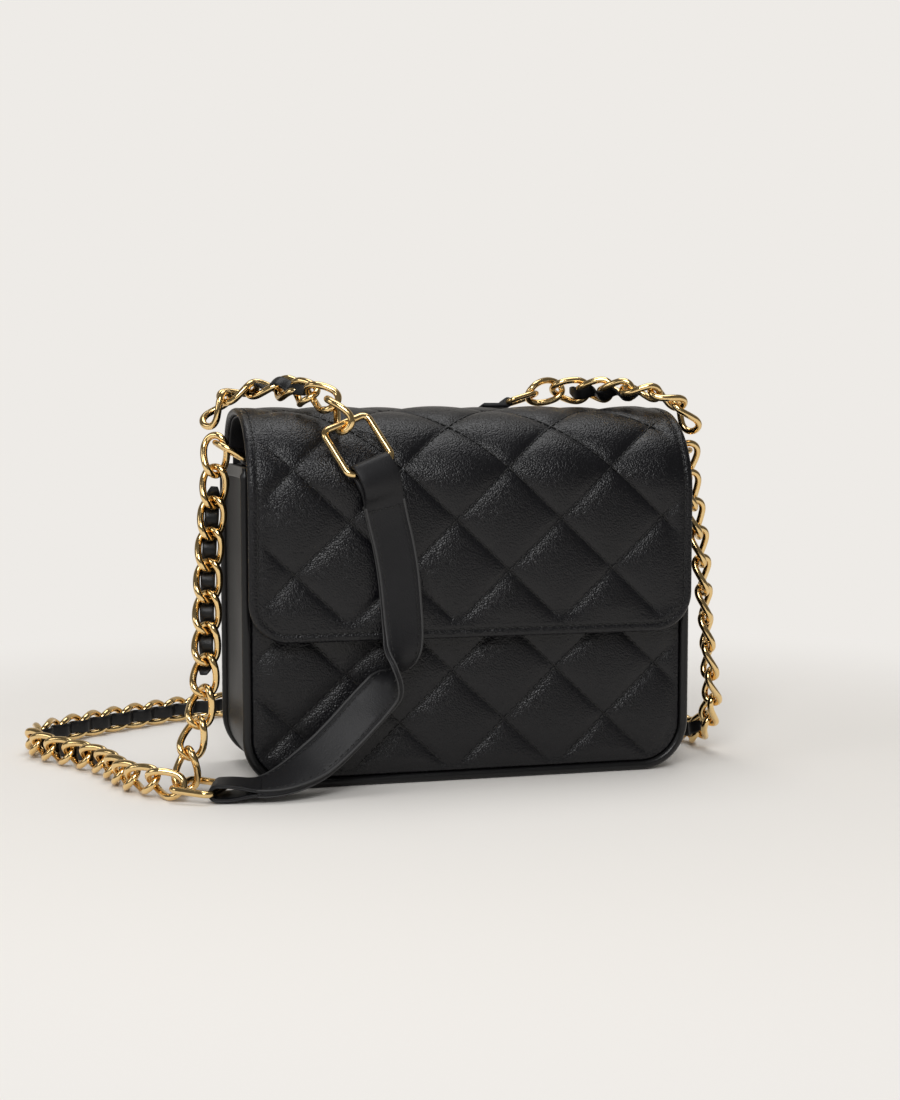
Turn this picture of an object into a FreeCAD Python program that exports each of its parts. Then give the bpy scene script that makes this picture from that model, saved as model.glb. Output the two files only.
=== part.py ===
import FreeCAD, Part
import math
import os
import re

import Sketcher

Vector = FreeCAD.Vector
Rotation = FreeCAD.Rotation
Placement = FreeCAD.Placement
X_AXIS = Vector(1, 0, 0)
Y_AXIS = Vector(0, 1, 0)
Z_AXIS = Vector(0, 0, 1)

# A chain shoulder bag. X runs to the bag's right, Y to its back and Z up, in millimetres.
# The origin is the middle of the flat base that the bag stands on.
doc = FreeCAD.newDocument("chain_shoulder_bag")

# Driving sizes, in millimetres unless the name says degrees
SIZES = {
    # Body
    "bag_width": 200.0,
    "bag_depth": 70.0,
    "body_height": 136.0,
    "corner_radius": 22.0,
    "panel_thickness": 4.0,
    "gusset_thickness": 3.0,
    "piping_diameter": 4.0,
    "facing_height": 5.0,
    "facing_thickness": 0.8,
    "lining_thickness": 0.8,
    "lining_clearance": 0.2,
    "tab_space": 2.4,
    "board_thickness": 2.0,
    "board_margin": 3.0,
    "pocket_width": 120.0,
    "pocket_height": 80.0,
    "pocket_thickness": 1.2,
    "pocket_drop": 22.0,
    # Flap
    "flap_side_inset": 2.0,
    "flap_shell_thickness": 4.0,
    "flap_lining_thickness": 1.0,
    "flap_lining_inset": 2.0,
    "flap_gap": 3.5,
    "flap_low_edge": 63.2,
    "flap_corner_radius": 17.0,
    "flap_back_radius": 19.0,
    "flap_front_radius": 35.0,
    "crown_half_degrees": 10.0,
    "root_degrees": 12.0,
    "hinge_clearance": 0.9,
    # Magnetic snap
    "snap_height": 80.0,
    "socket_diameter": 14.0,
    "socket_hole": 10.4,
    "socket_thickness": 2.2,
    "stud_plate_diameter": 12.0,
    "stud_plate_thickness": 0.6,
    "stud_diameter": 4.0,
    "stud_length": 1.6,
    # D-rings and the leather tabs that hold them
    "d_ring_wire": 2.4,
    "d_ring_width": 12.0,
    "d_ring_reach": 15.5,
    "d_ring_bend": 2.6,
    "tab_width": 9.0,
    "tab_ply": 0.9,
    "tab_length": 20.0,
    "bar_clearance": 0.15,
    "gusset_ring_rise": 2.6,
    "gusset_ring_forward": 10.0,
    "left_ring_degrees": 30.0,
    "right_ring_degrees": 12.0,
    "top_tab_length": 12.0,
    "seat_clearance": 0.1,
    "top_ring_degrees": 17.0,
    # Curb chain
    "chain_wire": 3.0,
    "link_half_length": 8.5,
    "link_half_width": 4.9,
    "link_rise": 2.2,
    "chain_pitch": 13.15,
    "hook_clearance": 0.35,
    # Leather lace along the chain
    "lace_width": 5.0,
    "lace_thickness": 1.2,
    "lace_clearance": 0.97,
    "floor_clearance": 0.4,
    "flap_chain_clearance": 0.6,
    # Leather strap and its two rings
    "strap_width": 17.0,
    "strap_thickness": 3.2,
    "strap_ring_wire": 3.0,
    "strap_ring_width": 18.4,
    "upper_ring_length": 20.0,
    "lower_ring_length": 14.0,
    "strap_ring_bend": 3.0,
    "strap_ring_clearance": 0.4,
    "strap_ring_lift": 3.7,
}

sheet = doc.addObject("Spreadsheet::Sheet", "sizes")
for row, (alias, number) in enumerate(SIZES.items(), start=1):
    sheet.set(f"A{row}", alias)
    sheet.set(f"B{row}", str(number))
    sheet.setAlias(f"B{row}", alias)
doc.recompute()


def size(alias):
    """A driving size, read from the sheet."""
    return float(sheet.get(alias))


def bind(thing, prop, formula):
    """Bind one property to a formula in the sheet's names."""
    thing.setExpression(prop, re.sub(r"[a-z_]{3,}", lambda name: "sizes." + name.group(), formula))


# Derived places that several pieces share
half_width = size("bag_width") / 2
half_depth = size("bag_depth") / 2
piping_radius = size("piping_diameter") / 2
seam_y = half_depth - size("panel_thickness")
gusset_half = half_width - piping_radius
gusset_inner = gusset_half - size("gusset_thickness")
flap_thickness = size("flap_shell_thickness") + size("flap_lining_thickness")
hinge_y = half_depth - size("panel_thickness") / 2
hinge_z = size("body_height") + flap_thickness / 2 + size("hinge_clearance")
flap_front_y = -(half_depth + size("flap_gap") + flap_thickness / 2)
flap_width = size("bag_width") - 2 * size("flap_side_inset")


def unit(vector):
    """The direction of a vector."""
    return vector * (1 / vector.Length)


def place(x_share, y_share, z_share):
    """A point given as shares of the half width, the half depth and the body height."""
    return Vector(x_share * half_width, y_share * half_depth, z_share * size("body_height"))


# Sketch helpers


def origin_plane(body, role):
    """One of the body's own three origin planes."""
    return next(plane for plane in body.Origin.OriginFeatures if plane.Role == role)


def new_sketch(body, name, role):
    """A sketch on one of the body's origin planes."""
    sketch = body.newObject("Sketcher::SketchObject", name)
    sketch.AttachmentSupport = (origin_plane(body, role), "")
    sketch.MapMode = "FlatFace"
    return sketch


def rectangle(sketch, width, bottom, height):
    """A rectangle that is symmetric about the sketch's upright axis, with its sizes as formulas."""
    corners = [Vector(-1, 1, 0), Vector(1, 1, 0), Vector(1, 2, 0), Vector(-1, 2, 0)]
    for start, end in zip(corners, corners[1:] + corners[:1]):
        sketch.addGeometry(Part.LineSegment(start, end), False)
    for line in range(4):
        sketch.addConstraint(Sketcher.Constraint("Coincident", line, 2, (line + 1) % 4, 1))
    sketch.addConstraint(Sketcher.Constraint("Horizontal", 2))
    for line in (1, 3):
        sketch.addConstraint(Sketcher.Constraint("Vertical", line))
    sketch.addConstraint(Sketcher.Constraint("Symmetric", 0, 1, 0, 2, -2))
    named = [
        ("wide", Sketcher.Constraint("DistanceX", 0, 1, 0, 2, 2), width),
        ("high", Sketcher.Constraint("DistanceY", 1, 1, 1, 2, 1), height),
        ("low", Sketcher.Constraint("DistanceY", -1, 1, 0, 1, 1), bottom),
    ]
    for name, constraint, formula in named:
        index = sketch.addConstraint(constraint)
        sketch.renameConstraint(index, name)
        bind(sketch, f"Constraints.{name}", formula)


def pad(body, sketch, length, midplane=False):
    """A pad of the sketch whose length is a formula."""
    feature = body.newObject("PartDesign::Pad", "Pad")
    feature.Profile = sketch
    if midplane:
        feature.SideType = "Symmetric"
    bind(feature, "Length", length)
    doc.recompute()
    return feature


def hollow_out(body, sketch, length):
    """A pocket both ways from the sketch whose whole length is a formula."""
    cut = body.newObject("PartDesign::Pocket", "Pocket")
    cut.Profile = sketch
    cut.SideType = "Symmetric"
    bind(cut, "Length", length)
    doc.recompute()
    return cut


def round_edges(body, feature, radius, choose):
    """A fillet on the edges that choose picks, with its radius as a formula."""
    names = [f"Edge{n}" for n, edge in enumerate(feature.Shape.Edges, start=1) if choose(edge)]
    fillet = body.newObject("PartDesign::Fillet", "Fillet")
    fillet.Base = (feature, names)
    bind(fillet, "Radius", radius)
    doc.recompute()
    return fillet


def runs_along(edge, axis):
    """True for a straight edge that runs along the axis."""
    if not isinstance(edge.Curve, Part.Line):
        return False
    return abs(abs(edge.Curve.Direction.dot(axis)) - 1) < 1e-6


def level_edges(height):
    """A test for the straight edges along Y that lie at one height."""

    def test(edge):
        box = edge.BoundBox
        return runs_along(edge, Y_AXIS) and abs(box.ZMax - height) < 1e-6 and abs(box.ZMin - height) < 1e-6

    return test


def new_body(label):
    """An empty body with its label."""
    body = doc.addObject("PartDesign::Body", label)
    body.Label = label
    return body


def feature_of(label, shape):
    """A plain feature that holds a finished shape."""
    feature = doc.addObject("Part::Feature", label)
    feature.Label = label
    feature.Shape = shape
    return feature


# Wire helpers: tubes along straight runs and tangent arcs


def arc_middle(start, tangent, end):
    """The middle of the arc that leaves start along the tangent and reaches end."""
    chord = end - start
    along = unit(chord)
    side = tangent - along * tangent.dot(along)
    angle = math.acos(max(-1, min(1, tangent.dot(along))))
    return (start + end) * 0.5 + unit(side) * (chord.Length / 2 * math.tan(angle / 2))


def biarc(start, start_tangent, end, end_tangent):
    """Two arcs that join two points and keep the tangent at each."""
    gap = end - start
    spread = 2 * (1 - start_tangent.dot(end_tangent))
    lean = gap.dot(start_tangent + end_tangent)
    reach = (math.sqrt(lean * lean + spread * gap.dot(gap)) - lean) / spread
    meet = (start + end + (start_tangent - end_tangent) * reach) * 0.5
    first = Part.Arc(start, arc_middle(start, start_tangent, meet), meet)
    last = Part.Arc(meet, arc_middle(end, end_tangent * -1, meet), end)
    return [first.toShape(), last.toShape()]


def rounded_path(points, bend, closed=False):
    """Straight runs through the points, with an arc of one radius at each corner."""
    count = len(points)
    corners = range(count) if closed else range(1, count - 1)
    cuts = {}
    for i in corners:
        before = unit(points[i - 1] - points[i])
        after = unit(points[(i + 1) % count] - points[i])
        half_turn = (math.pi - before.getAngle(after)) / 2
        setback = bend * math.tan(half_turn)
        middle = points[i] + unit(before + after) * (bend / math.cos(half_turn) - bend)
        cuts[i] = (points[i] + before * setback, middle, points[i] + after * setback)
    edges = []
    for i in range(count if closed else count - 1):
        j = (i + 1) % count
        start = cuts[i][2] if i in cuts else points[i]
        end = cuts[j][0] if j in cuts else points[j]
        if (end - start).Length > 1e-6:
            edges.append(Part.LineSegment(start, end).toShape())
        if j in cuts:
            edges.append(Part.Arc(*cuts[j]).toShape())
    return edges


def tube(edges, diameter):
    """A round tube along an open path of edges."""
    start = edges[0].firstVertex().Point
    tangent = edges[0].tangentAt(edges[0].FirstParameter)
    ring = Part.Wire([Part.Circle(start, tangent, diameter / 2).toShape()])
    return Part.Wire(edges).makePipeShell([ring], True, False)


def closed_tube(edges, diameter):
    """A round tube along a closed path: two open halves joined."""
    half = len(edges) // 2
    joined = tube(edges[:half], diameter).fuse(tube(edges[half:], diameter))
    return joined.Solids[0]


# Bag body


def make_panel(label, front):
    """The front or back panel: a plate with rounded lower corners, inside the piping."""
    body = new_body(label)
    sketch = new_sketch(body, "Outline", "XZ_Plane")
    rectangle(sketch, "bag_width - 2 * piping_diameter", "piping_diameter", "body_height - piping_diameter")
    plate = pad(body, sketch, "panel_thickness")
    round_edges(body, plate, "corner_radius - piping_diameter", level_edges(size("piping_diameter")))
    if front:
        bind(body, "Placement.Base.y", "panel_thickness - bag_depth / 2")
    else:
        bind(body, "Placement.Base.y", "bag_depth / 2")
    return body


def make_gusset():
    """The side and base band: a U between the two panels."""
    body = new_body("gusset")
    outline = new_sketch(body, "Outline", "XZ_Plane")
    rectangle(outline, "bag_width - piping_diameter", "0 * body_height", "body_height")
    pad(body, outline, "bag_depth - 2 * panel_thickness", midplane=True)
    hollow = new_sketch(body, "Hollow", "XZ_Plane")
    rectangle(
        hollow,
        "bag_width - piping_diameter - 2 * gusset_thickness",
        "gusset_thickness",
        "body_height",
    )
    cut = hollow_out(body, hollow, "2 * bag_depth")
    inner = round_edges(body, cut, "corner_radius - gusset_thickness", level_edges(size("gusset_thickness")))
    round_edges(body, inner, "corner_radius", level_edges(0))
    return body


def make_piping(label, side):
    """The round piping in the seam between a panel and the gusset."""
    y = side * (seam_y + piping_radius)
    x = gusset_half
    top = size("body_height")
    corners = [Vector(-x, y, top), Vector(-x, y, piping_radius), Vector(x, y, piping_radius), Vector(x, y, top)]
    edges = rounded_path(corners, size("corner_radius") - piping_radius)
    return feature_of(label, tube(edges, size("piping_diameter")))


def make_facing(label, side):
    """The folded strip along the top edge of one side of the gusset."""
    strip = doc.addObject("Part::Box", label)
    strip.Label = label
    bind(strip, "Length", "facing_thickness")
    bind(strip, "Width", "bag_depth - 2 * panel_thickness")
    bind(strip, "Height", "facing_height")
    if side > 0:
        bind(strip, "Placement.Base.x", "bag_width / 2 - piping_diameter / 2")
    else:
        bind(strip, "Placement.Base.x", "-(bag_width / 2 - piping_diameter / 2 + facing_thickness)")
    bind(strip, "Placement.Base.y", "panel_thickness - bag_depth / 2")
    bind(strip, "Placement.Base.z", "body_height - facing_height")
    return strip


def make_base_board():
    """The stiff board on the gusset's floor, under the lining."""
    board = doc.addObject("Part::Box", "base_board")
    board.Label = "base_board"
    bind(board, "Length", "bag_width - 2 * corner_radius - 2 * board_margin")
    bind(board, "Width", "bag_depth - 2 * panel_thickness - 2 * board_margin")
    bind(board, "Height", "board_thickness")
    bind(board, "Placement.Base.x", "corner_radius + board_margin - bag_width / 2")
    bind(board, "Placement.Base.y", "panel_thickness + board_margin - bag_depth / 2")
    bind(board, "Placement.Base.z", "gusset_thickness")
    return board


def make_lining():
    """The cloth lining: a thin open box inside the panels and the gusset."""
    body = new_body("lining")
    wide = "bag_width - piping_diameter - 2 * gusset_thickness - 2 * tab_space"
    deep = "bag_depth - 2 * panel_thickness - 2 * lining_clearance"
    low = "gusset_thickness + board_thickness"
    outline = new_sketch(body, "Outline", "XZ_Plane")
    rectangle(outline, wide, low, f"body_height - ({low})")
    pad(body, outline, deep, midplane=True)
    hollow = new_sketch(body, "Hollow", "XZ_Plane")
    rectangle(hollow, f"{wide} - 2 * lining_thickness", f"{low} + lining_thickness", "body_height")
    cut = hollow_out(body, hollow, f"{deep} - 2 * lining_thickness")
    under = size("gusset_thickness") + size("board_thickness")
    inside = under + size("lining_thickness")
    inner = round_edges(body, cut, "corner_radius - gusset_thickness - lining_thickness", level_edges(inside))
    round_edges(body, inner, "corner_radius - gusset_thickness", level_edges(under))
    return body


def make_slip_pocket():
    """The flat pocket sewn to the lining's back wall."""
    pocket = doc.addObject("Part::Box", "slip_pocket")
    pocket.Label = "slip_pocket"
    bind(pocket, "Length", "pocket_width")
    bind(pocket, "Width", "pocket_thickness")
    bind(pocket, "Height", "pocket_height")
    bind(pocket, "Placement.Base.x", "-pocket_width / 2")
    bind(
        pocket,
        "Placement.Base.y",
        "bag_depth / 2 - panel_thickness - lining_clearance - lining_thickness - pocket_thickness",
    )
    bind(pocket, "Placement.Base.z", "body_height - pocket_drop - pocket_height")
    return pocket


# Flap


def flap_arcs():
    """Centres and middle radii of the flap's back bend, crown and front bend, in the Y Z plane."""
    crown_half = math.radians(size("crown_half_degrees"))
    bend = math.pi / 2 - crown_half
    back_radius = size("flap_back_radius")
    front_radius = size("flap_front_radius")
    span = hinge_y - flap_front_y
    crown_radius = (span - (back_radius + front_radius) * (1 - math.cos(bend))) / (2 * math.sin(crown_half))
    back = Vector(hinge_y - back_radius, hinge_z, 0)
    toward_back = Vector(math.cos(bend), math.sin(bend), 0)
    toward_front = Vector(-math.cos(bend), math.sin(bend), 0)
    crown = back - toward_back * (crown_radius - back_radius)
    front = crown + toward_front * (crown_radius - front_radius)
    return [(back, back_radius), (crown, crown_radius), (front, front_radius)], bend


def flap_chain(offset, start_angle, low):
    """The flap's line at one offset from its middle, as arcs and a straight drop, from the hinge on."""
    arcs, bend = flap_arcs()
    limits = [start_angle, bend, math.pi - bend, math.pi]
    pieces = []
    for (centre, radius), first, last in zip(arcs, limits, limits[1:]):
        circle = Part.Circle(centre, Z_AXIS, radius + offset)
        pieces.append(Part.ArcOfCircle(circle, first, last))
    front, front_radius = arcs[2]
    foot = front.x - front_radius - offset
    pieces.append(Part.LineSegment(Vector(foot, front.y, 0), Vector(foot, low, 0)))
    return pieces


def polar(centre, radius, angle):
    """A point of a circle in a sketch."""
    return centre + Vector(math.cos(angle), math.sin(angle), 0) * radius


def flap_top(x_share, y_share, lift):
    """The point at one lift above the flap's outer face, and the face's normal there."""
    y = y_share * half_depth
    outer = flap_thickness / 2
    arcs, bend = flap_arcs()
    limits = [0, bend, math.pi - bend, math.pi]
    for (centre, radius), first, last in zip(arcs, limits, limits[1:]):
        angle = math.acos(max(-1, min(1, (y - centre.x) / (radius + outer))))
        if first <= angle <= last:
            break
    foot = polar(centre, radius + outer + lift, angle)
    return Vector(x_share * half_width, foot.x, foot.y), Vector(0, math.cos(angle), math.sin(angle))


def make_flap_shell():
    """The flap's outer leather and padding, with a round root on the hinge line."""
    body = new_body("flap_shell")
    sketch = new_sketch(body, "Profile", "YZ_Plane")
    low = size("flap_low_edge")
    root = math.radians(size("root_degrees"))
    outer = flap_thickness / 2
    inner = outer - size("flap_shell_thickness")
    back, back_radius = flap_arcs()[0][0]
    hinge = Vector(hinge_y, hinge_z, 0)
    outside = flap_chain(outer, 0, low)
    inside = flap_chain(inner, root, low)
    for piece in outside + inside:
        sketch.addGeometry(piece, False)
    sketch.addGeometry(Part.LineSegment(outside[-1].EndPoint, inside[-1].EndPoint), False)
    root_circle = Part.Circle(back, Z_AXIS, back_radius - outer)
    sketch.addGeometry(Part.ArcOfCircle(root_circle, 0, root), False)
    step_end = polar(back, back_radius + inner, root)
    sketch.addGeometry(Part.LineSegment(polar(back, back_radius - outer, root), step_end), False)
    sketch.addGeometry(Part.ArcOfCircle(Part.Circle(hinge, Z_AXIS, outer), math.pi, 2 * math.pi), False)
    shell = pad(body, sketch, "bag_width - 2 * flap_side_inset", midplane=True)
    round_edges(body, shell, "flap_corner_radius", level_edges(low))
    return body


def make_flap_lining():
    """The flap's inner lining, a little smaller than the shell."""
    body = new_body("flap_lining")
    sketch = new_sketch(body, "Profile", "YZ_Plane")
    inset = size("flap_lining_inset")
    low = size("flap_low_edge") + inset
    root = math.radians(size("root_degrees"))
    outer = flap_thickness / 2 - size("flap_shell_thickness")
    inner = -flap_thickness / 2
    outside = flap_chain(outer, root, low)
    inside = flap_chain(inner, root, low)
    for piece in outside + inside:
        sketch.addGeometry(piece, False)
    sketch.addGeometry(Part.LineSegment(outside[-1].EndPoint, inside[-1].EndPoint), False)
    sketch.addGeometry(Part.LineSegment(outside[0].StartPoint, inside[0].StartPoint), False)
    cloth = pad(body, sketch, "bag_width - 2 * flap_side_inset - 2 * flap_lining_inset", midplane=True)
    round_edges(body, cloth, "flap_corner_radius - flap_lining_inset", level_edges(low))
    return body


# Magnetic snap


def disc(name, diameter, thickness):
    """A cylinder that lies along Y, with its sizes as formulas."""
    cylinder = doc.addObject("Part::Cylinder", name)
    bind(cylinder, "Radius", f"({diameter}) / 2")
    bind(cylinder, "Height", thickness)
    cylinder.Placement = Placement(Vector(), Rotation(X_AXIS, 90))
    bind(cylinder, "Placement.Base.z", "snap_height")
    return cylinder


def make_snap_socket():
    """The magnet ring on the front panel."""
    plate = disc("SocketPlate", "socket_diameter", "socket_thickness")
    bind(plate, "Placement.Base.y", "-bag_depth / 2")
    hole = disc("SocketHole", "socket_hole", "socket_thickness")
    bind(hole, "Placement.Base.y", "-bag_depth / 2")
    socket = doc.addObject("Part::Cut", "snap_socket")
    socket.Label = "snap_socket"
    socket.Base = plate
    socket.Tool = hole
    return socket


def make_snap_stud():
    """The plate and boss on the flap's lining."""
    plate = disc("StudPlate", "stud_plate_diameter", "stud_plate_thickness")
    bind(plate, "Placement.Base.y", "stud_plate_thickness - bag_depth / 2 - flap_gap")
    boss = disc("StudBoss", "stud_diameter", "stud_length")
    bind(boss, "Placement.Base.y", "stud_plate_thickness + stud_length - bag_depth / 2 - flap_gap")
    stud = doc.addObject("Part::Fuse", "snap_stud")
    stud.Label = "snap_stud"
    stud.Base = plate
    stud.Tool = boss
    return stud


# D-rings and tabs


def frame_on(origin, forward, across):
    """A placement with its X along forward and its Y along across."""
    ahead = unit(forward)
    side = unit(across - ahead * across.dot(ahead))
    up = ahead.cross(side)
    matrix = FreeCAD.Matrix(
        ahead.x, side.x, up.x, origin.x, ahead.y, side.y, up.y, origin.y, ahead.z, side.z, up.z, origin.z, 0, 0, 0, 1
    )
    return Placement(matrix)


def d_ring_solid():
    """A D-ring in its own frame: the bar along Y at the origin and the bow reaching along X."""
    half = (size("d_ring_width") + size("d_ring_wire")) / 2
    reach = size("d_ring_reach")
    bend = size("d_ring_bend")
    straight = reach - half
    bow = Part.Arc(Vector(straight, half, 0), Vector(reach, 0, 0), Vector(straight, -half, 0)).toShape()
    sides = [Vector(straight, -half, 0), Vector(0, -half, 0), Vector(0, half, 0), Vector(straight, half, 0)]
    bar = rounded_path(sides, bend)
    ring = tube([bow], size("d_ring_wire")).fuse(tube(bar, size("d_ring_wire")))
    return ring.Solids[0]


def tab_solid(stem_length, stem_thickness, stem_offset):
    """A leather tab in the D-ring's frame: a round head on the bar and a flat stem along minus X."""
    width = size("tab_width")
    hole = size("d_ring_wire") / 2 + size("bar_clearance")
    low = Vector(0, -width / 2, 0)
    head = Part.makeCylinder(head_radius(), width, low, Y_AXIS)
    corner = Vector(-stem_length, -width / 2, stem_offset - stem_thickness / 2)
    stem = Part.makeBox(stem_length, width, stem_thickness, corner)
    bore = Part.makeCylinder(hole, width, low, Y_AXIS)
    return head.fuse(stem).cut(bore).removeSplitter().Solids[0]


def gusset_bar(side):
    """The middle of the D-ring's bar above one side of the gusset."""
    x = gusset_inner - size("tab_space") / 2
    return Vector(side * x, -size("gusset_ring_forward"), size("body_height") + size("gusset_ring_rise"))


def gusset_reach(side):
    """The way that a gusset D-ring reaches: outwards and a little up."""
    rise = math.radians(size("left_ring_degrees" if side < 0 else "right_ring_degrees"))
    return Vector(side * math.cos(rise), 0, math.sin(rise))


def gusset_bow(side):
    """The middle of the bow of a gusset D-ring."""
    return gusset_bar(side) + gusset_reach(side) * size("d_ring_reach")


def make_gusset_ring(name, side):
    """One D-ring on the gusset, and the tab that is sewn between the gusset and the lining."""
    ring = feature_of(f"{name}_d_ring", d_ring_solid())
    ring.Placement = frame_on(gusset_bar(side), gusset_reach(side), Y_AXIS)
    stem_thickness = 2 * size("tab_ply")
    tab = feature_of(f"{name}_tab", tab_solid(size("tab_length"), stem_thickness, 0))
    tab.Placement = frame_on(gusset_bar(side), Z_AXIS, Y_AXIS)
    return [ring, tab]


# The D-ring on top of the flap, towards the back
TOP_RING_SHARES = (0.3, 0.52)


def head_radius():
    """The outer radius of a tab's round head."""
    return size("d_ring_wire") / 2 + size("bar_clearance") + size("tab_ply")


def top_ring_frame():
    """The frame of the D-ring on top of the flap, whose bow points to the bag's right."""
    bar, normal = flap_top(*TOP_RING_SHARES, head_radius() + size("seat_clearance"))
    rise = math.radians(size("top_ring_degrees"))
    return frame_on(bar, X_AXIS * math.cos(rise) + normal * math.sin(rise), normal.cross(X_AXIS))


def make_top_ring():
    """The D-ring on top of the flap, and the tab sewn flat on the leather."""
    frame = top_ring_frame()
    ring = feature_of("flap_top_d_ring", d_ring_solid())
    ring.Placement = frame
    thickness = 2 * size("tab_ply")
    tab = feature_of("flap_top_tab", tab_solid(size("top_tab_length"), thickness, thickness / 2 - head_radius()))
    tab.Placement = frame_on(frame.Base, X_AXIS, frame.Rotation.multVec(Y_AXIS))
    return [ring, tab]


def bow_of(frame):
    """The middle of a D-ring's bow."""
    return frame.multVec(X_AXIS * size("d_ring_reach"))


# Chain


def link_solid():
    """One curb link in its own frame: length along X, width along Y, and a figure of eight rise along Z."""
    length = size("link_half_length")
    width = size("link_half_width")
    rise = size("link_rise")
    steps = 8
    points = []
    for step in range(steps + 1):
        turn = 2 * math.pi * step / steps
        point = Vector(length * math.cos(turn), width * math.sin(turn), -rise * math.sin(2 * turn))
        slope = Vector(-length * math.sin(turn), width * math.cos(turn), -2 * rise * math.cos(2 * turn))
        points.append((point, unit(slope)))
    edges = []
    for (start, start_slope), (end, end_slope) in zip(points, points[1:]):
        edges += biarc(start, start_slope, end, end_slope)
    return closed_tube(edges, size("chain_wire"))


def hook_reach(bar_wire):
    """How far a link's middle lies from the middle of a bar that its end is hooked on."""
    wire = (size("chain_wire") + bar_wire) / 2
    return size("link_half_length") - wire - size("hook_clearance")


def link_frames(first, stations, last):
    """Evenly spaced frames for the links of one run: a list of (centre, heading, side).

    first and last are (bar, wire, heading, side) for the bars that the two end links lie on.
    stations are (point, side) on the way, where side is the way that a link's width points.
    """
    route = []
    for (bar, wire, heading, side), way in ((first, 1), (last, -1)):
        route.append((bar + unit(heading) * (way * hook_reach(wire)), side))
    route[1:1] = stations
    curve = Part.BSplineCurve()
    curve.interpolate([first[0]] + [point for point, _ in route] + [last[0]])
    marks = [curve.length(curve.FirstParameter, curve.parameter(point)) for point, _ in route]
    total = marks[-1] - marks[0]
    count = round(total / size("chain_pitch"))
    frames = []
    for i in range(count + 1):
        run = marks[0] + total * i / count
        parameter = curve.parameterAtDistance(run, curve.FirstParameter)
        after = next((n for n in range(1, len(marks)) if marks[n] >= run), len(marks) - 1)
        share = (run - marks[after - 1]) / (marks[after] - marks[after - 1])
        side = route[after - 1][1] * (1 - share) + route[after][1] * share
        frames.append((curve.value(parameter), unit(curve.tangent(parameter)[0]), unit(side)))
    frames[0] = (route[0][0], unit(first[2]), unit(first[3]))
    frames[-1] = (route[-1][0], unit(last[2]), unit(last[3]))
    return frames


def make_chain(label, frames):
    """One run of chain: separate links, each hooked through the next."""
    link = link_solid()
    links = []
    for centre, heading, side in frames:
        copy = link.copy()
        copy.Placement = frame_on(centre, heading, side)
        links.append(copy)
    return feature_of(label, Part.makeCompound(links))


def ribbon(frames, width, thickness, away):
    """A flat band through the frames, set back from them along minus Z, from ruled faces."""
    half = width / 2
    thick = thickness / 2
    corners = [(half, thick), (-half, thick), (-half, -thick), (half, -thick)]
    rings = [[frame.multVec(Vector(0, y, z - away)) for y, z in corners] for frame in frames]
    faces = [Part.Face(Part.makePolygon(ring + ring[:1])) for ring in (rings[0], rings[-1])]
    for before, after in zip(rings, rings[1:]):
        for i in range(len(corners)):
            j = (i + 1) % len(corners)
            near = Part.LineSegment(before[i], before[j]).toShape()
            far = Part.LineSegment(after[i], after[j]).toShape()
            faces.append(Part.makeRuledSurface(near, far, 1))
    shell = Part.makeShell(faces)
    shell.sewShape()
    solid = Part.makeSolid(shell)
    if solid.Volume < 0:
        solid.reverse()
    return solid


def make_lace(label, frames, way):
    """The leather lace of one run, a plain strip along one face of its links."""
    thickness = size("lace_thickness")
    away = size("link_rise") + size("chain_wire") / 2 + size("lace_clearance") + thickness / 2
    places = [frame_on(*frame) for frame in frames]
    return feature_of(label, ribbon(places, size("lace_width"), thickness, way * away))


# Leather strap


def strap_ring_solid(length):
    """A strap ring in its own frame: a rounded oblong whose bars run along X and legs along Y."""
    wire = size("strap_ring_wire")
    half_bar = (size("strap_ring_width") + wire) / 2
    half_leg = (length + wire) / 2
    corners = [
        Vector(half_bar, half_leg, 0),
        Vector(-half_bar, half_leg, 0),
        Vector(-half_bar, -half_leg, 0),
        Vector(half_bar, -half_leg, 0),
    ]
    return closed_tube(rounded_path(corners, size("strap_ring_bend"), closed=True), wire)


def ring_bar_offset(length):
    """How far each bar of a strap ring of this inner length lies from the ring's middle."""
    return (length + size("strap_ring_wire")) / 2


# The upper strap ring lies on the flap's front bend, turned a little towards the bag's middle.
UPPER_RING_X_SHARE = -0.52
UPPER_RING_DEGREES = 31.0
UPPER_RING_TURN_DEGREES = 24.0


def upper_ring_frame():
    """The upper strap ring: its bars across the strap and its legs down the strap."""
    front, front_radius = flap_arcs()[0][2]
    angle = math.radians(UPPER_RING_DEGREES)
    turn = math.radians(UPPER_RING_TURN_DEGREES)
    radius = front_radius + flap_thickness / 2 + size("strap_ring_wire") / 2 + size("strap_ring_lift")
    y = front.x - radius * math.cos(angle)
    z = front.y + radius * math.sin(angle)
    downhill = Vector(0, -math.sin(angle), -math.cos(angle))
    legs = downhill * math.cos(turn) + X_AXIS * math.sin(turn)
    bars = X_AXIS * math.cos(turn) - downhill * math.sin(turn)
    return frame_on(Vector(UPPER_RING_X_SHARE * half_width, y, z), bars, legs)


# The lower strap ring lies on the floor in front of the bag's left corner.
LOWER_RING_SHARES = (-1.19, -1.2, 0.037)
LOWER_RING_HEADING = Vector(-0.87, 0.49, 0.08)


def lower_ring_frame():
    """The lower strap ring: its legs lead on from the strap's end."""
    across = LOWER_RING_HEADING.cross(Z_AXIS) * -1
    return frame_on(place(*LOWER_RING_SHARES), across, LOWER_RING_HEADING)


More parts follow.
